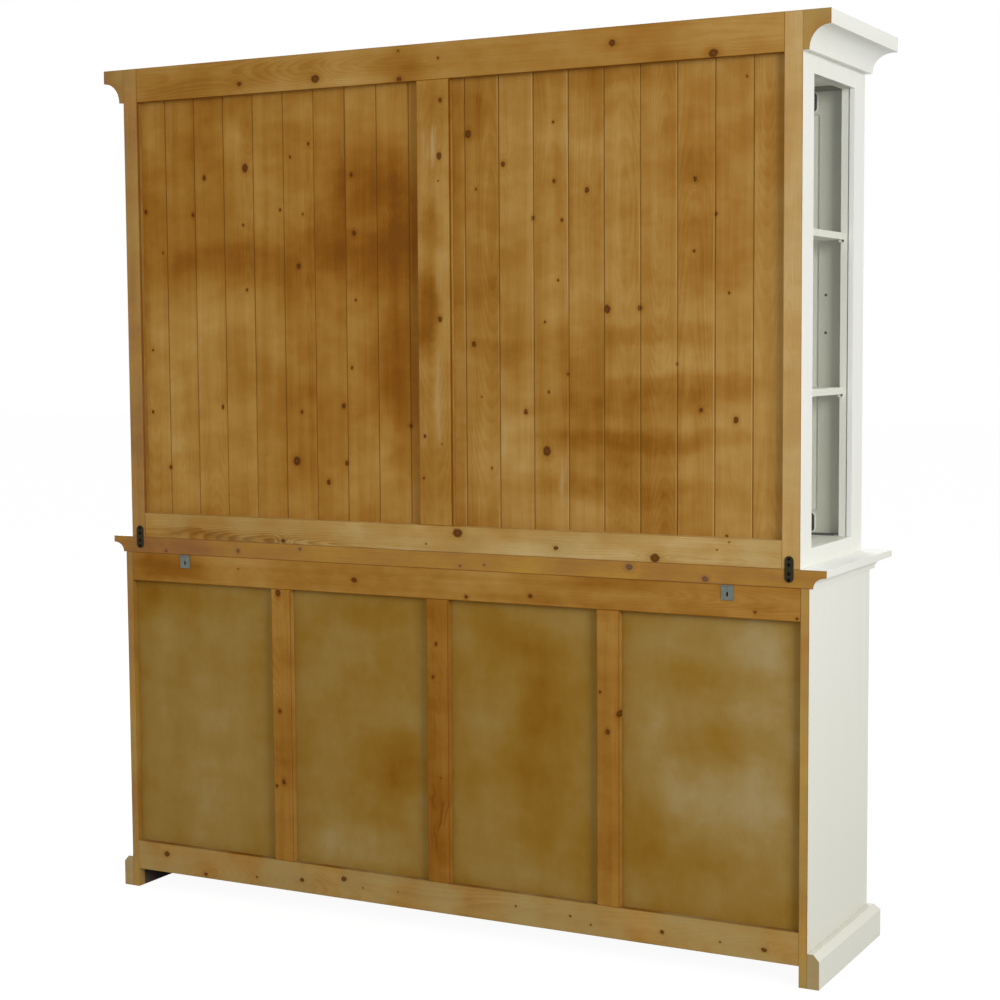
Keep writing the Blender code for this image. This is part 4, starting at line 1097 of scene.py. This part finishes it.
feltAndGapShade = feltFinish()
feltReach = -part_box("hutch_end_left")[1].x - felt["shortOfEnd"]
for side in ("left", "right"):
    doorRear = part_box(f"sliding_door_{side}")[1].y
    for level, bottom, top in (
            ("low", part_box("hutch_floor")[1].z - felt["intoBoard"], guides["doorBottom"]),
            ("high", guides["doorTop"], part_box("hutch_roof")[0].z + felt["intoBoard"])):
        strip = block((2 * feltReach, felt["thick"], top - bottom), felt["bevel"],
                      (0, doorRear + felt["fromDoor"] + felt["thick"] / 2, (bottom + top) / 2))
        newPiece(f"door_felt_{level}_{side}", strip, feltAndGapShade, "carcass", smooth=True)
print("felt strips laid")


# moving leaves of the base door hinges, on the doors' edges
leaves = {"tall": 0.060, "deep": 0.0165, "thick": 0.0008, "corner": 0.0022, "fromFront": 0.0006,
          "screwSteps": (-0.021, 0.0, 0.021), "screwStagger": 0.0006, "screwTurn": 40}

for number in (1, 2, 3, 4):
    door = f"base_door_{number}"
    low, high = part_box(door)
    outward = -1 if number in (1, 3) else 1
    edgeX = low.x if outward < 0 else high.x
    for level in ("high", "low"):
        hingeLow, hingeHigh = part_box(f"base_hinge_{number}_{level}")
        middle = (hingeLow.z + hingeHigh.z) / 2
        leaf = panel(leaves["deep"], leaves["tall"])
        thicken(leaf, leaf.faces[:], leaves["thick"])
        corners = [edge for edge in leaf.edges if edge.verts[0].co.z != edge.verts[1].co.z]
        ease(leaf, corners, leaves["corner"], 4)
        place = Vector((edgeX, low.y + leaves["fromFront"] + leaves["deep"] / 2, middle))
        bmesh.ops.transform(leaf, matrix=facing(place, (outward, 0, 0)), verts=leaf.verts)
        for step in leaves["screwSteps"]:
            aside = leaves["screwStagger"] * (1 if step else -1)
            spot = place + Vector((outward * leaves["thick"], aside, step))
            addScrew(leaf, screwSizes["leaf"], facing(spot, (outward, 0, 0)), step * leaves["screwTurn"])
        newPiece(f"base_door_{number}_leaf_{level}", leaf, black, door, smooth=True)
print("hinge leaves fitted")


# screws through the two plates that tie the hutch to the base, by share of a plate's height
plateScrews = {"shares": (0.103, 0.334, 0.666, 0.897), "turn": 0.7}

for side in ("left", "right"):
    low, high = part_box(f"joining_plate_{side}")
    screws = bmesh.new()
    for number, share in enumerate(plateScrews["shares"]):
        place = ((low.x + high.x) / 2, high.y, low.z + (high.z - low.z) * share)
        addScrew(screws, screwSizes["plate"], facing(place), number * plateScrews["turn"])
    newPiece(f"joining_screws_{side}", screws, rusty, "carcass", smooth=True)
print("plate screws fitted")


# painted shade: thin dark discs on the rail behind the slots of the wall plates, standing for the pockets
# there and the shade in them
wallPocketShades = {
    "wide": 0.012, "tall": 0.020, "thick": 0.0002, "bevel": 0.00005, "abovePlateFoot": 0.016,
    "dark": (0.006, 0.004, 0.003), "dusty": (0.022, 0.014, 0.008), "dust": ((400.0,) * 3, 2.0),
    "roughness": 0.8, "dustRougher": 0.1, "shine": 0.1, "bump": 0.0001,
}


def pocketShadeFinish():
    finish = Finish("pocket shade painted on wood")
    dust = finish.noise(finish.place, *wallPocketShades["dust"])
    colour = finish.blend(dust, wallPocketShades["dark"], wallPocketShades["dusty"])
    rough = wallPocketShades["roughness"] + dust * wallPocketShades["dustRougher"]
    return finish.done(colour, rough, dust, reach=wallPocketShades["bump"],
                       Specular_IOR_Level=wallPocketShades["shine"])


pocketShade = pocketShadeFinish()
for side in ("left", "right"):
    low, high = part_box(f"wall_plate_{side}")
    hollow = bmesh.new()
    place = ((low.x + high.x) / 2, rearPlane, low.z + wallPocketShades["abovePlateFoot"])
    pill(hollow, wallPocketShades["wide"], wallPocketShades["tall"], wallPocketShades["thick"], wallPocketShades["bevel"],
         facing(place))
    newPiece(f"wall_plate_pocket_shade_{side}", hollow, pocketShade, "carcass", smooth=True)
print("pockets behind the wall plates done")


# small black rests under the outer ends of the hutch shelves; their black partly stands in as painted
# shade under the shelf ends
rests = {"inset": 0.0008, "wide": 0.009, "long": 0.016, "thick": 0.0055, "bevel": 0.0012}

for side in ("left", "right"):
    for level in ("lower", "upper"):
        low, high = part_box(f"hutch_shelf_{level}_{side}")
        outward = -1 if side == "left" else 1
        outer = low.x if side == "left" else high.x
        rest = bmesh.new()
        x = outer - outward * (rests["inset"] + rests["wide"] / 2)
        for y in (low.y + rests["long"] / 2, high.y - rests["long"] / 2):
            addTo(rest, block((rests["wide"], rests["long"], rests["thick"]), rests["bevel"],
                              (x, y, low.z - rests["thick"] / 2)))
        newPiece(f"shelf_rest_{level}_{side}", rest, japanned, "carcass", smooth=True)
print("shelf rests fitted")


lighting = {
    "sky": 0.50,
    "aim": (0, 0, 1.1),
    "lamps": {  # place, size and power
        "key": ((-5.6, 3.4, 2.8), 2.2, 228.0),
        "back": ((0.5, 6.0, 2.6), 3.0, 75.0),
        "top": ((-1.5, -0.1, 8.0), 1.0, 75.0),
        "side": ((6.5, -0.6, 2.6), 2.5, 75.0),
        "fill": ((3.2, -5.0, 3.0), 3.0, 230.0),
    },
    "floorSide": 60.0,
    "floorBelow": 0.0004,
    "floorColour": (0.42, 0.42, 0.41),
    "floorShadowShare": 0.24,  # how much of the object's shadow the camera sees on the white floor
    "floorWhite": 1.24,  # the rest of it, so that the open floor reaches white
}


# the camera's rays, mirrored ones and those through glass
seenStraight = ("Is Camera Ray", "Is Glossy Ray", "Is Transmission Ray")


def lightScene():
    scene = bpy.context.scene
    scene.view_settings.view_transform = "Standard"
    for name, (place, size, power) in lighting["lamps"].items():
        data = bpy.data.lights.new(name + "Lamp", "AREA")
        data.size = size
        data.energy = power
        lamp = bpy.data.objects.new(name + "Lamp", data)
        lamp.location = place
        aim = Vector(lighting["aim"]) - lamp.location
        lamp.rotation_euler = aim.to_track_quat("-Z", "Y").to_euler()
        scene.collection.objects.link(lamp)
    sky = Finish("studio", world=True)
    lit, seen = (sky.node("ShaderNodeBackground", {}, {"Color": (1, 1, 1), "Strength": strength})
                 for strength in (lighting["sky"], 1.0))
    straight = sky.anyRay(*seenStraight)
    scene.world = sky.close(sky.node("ShaderNodeMixShader", {}, {0: straight, 1: lit, 2: seen}))


def layFloor():
    bm = bmesh.new()
    bmesh.ops.create_grid(bm, x_segments=1, y_segments=1, size=lighting["floorSide"] / 2)
    bmesh.ops.translate(bm, verts=bm.verts, vec=(0, 0, -lighting["floorBelow"]))
    mesh = bpy.data.meshes.new("floor")
    bm.to_mesh(mesh)
    bm.free()
    floor = bpy.data.objects.new("floor", mesh)
    bpy.context.scene.collection.objects.link(floor)
    finish = Finish("pale floor")
    lit = finish.node("ShaderNodeBsdfDiffuse", {}, {"Color": lighting["floorColour"]})
    white = finish.node(
        "ShaderNodeEmission", {}, {"Color": (1, 1, 1), "Strength": lighting["floorWhite"]})
    share = finish.anyRay(*seenStraight) * (1 - lighting["floorShadowShare"])
    shader = finish.node("ShaderNodeMixShader", {}, {0: share, 1: lit, 2: white})
    mesh.materials.append(finish.close(shader))


lightScene()
layFloor()
print("lamps and floor in place")
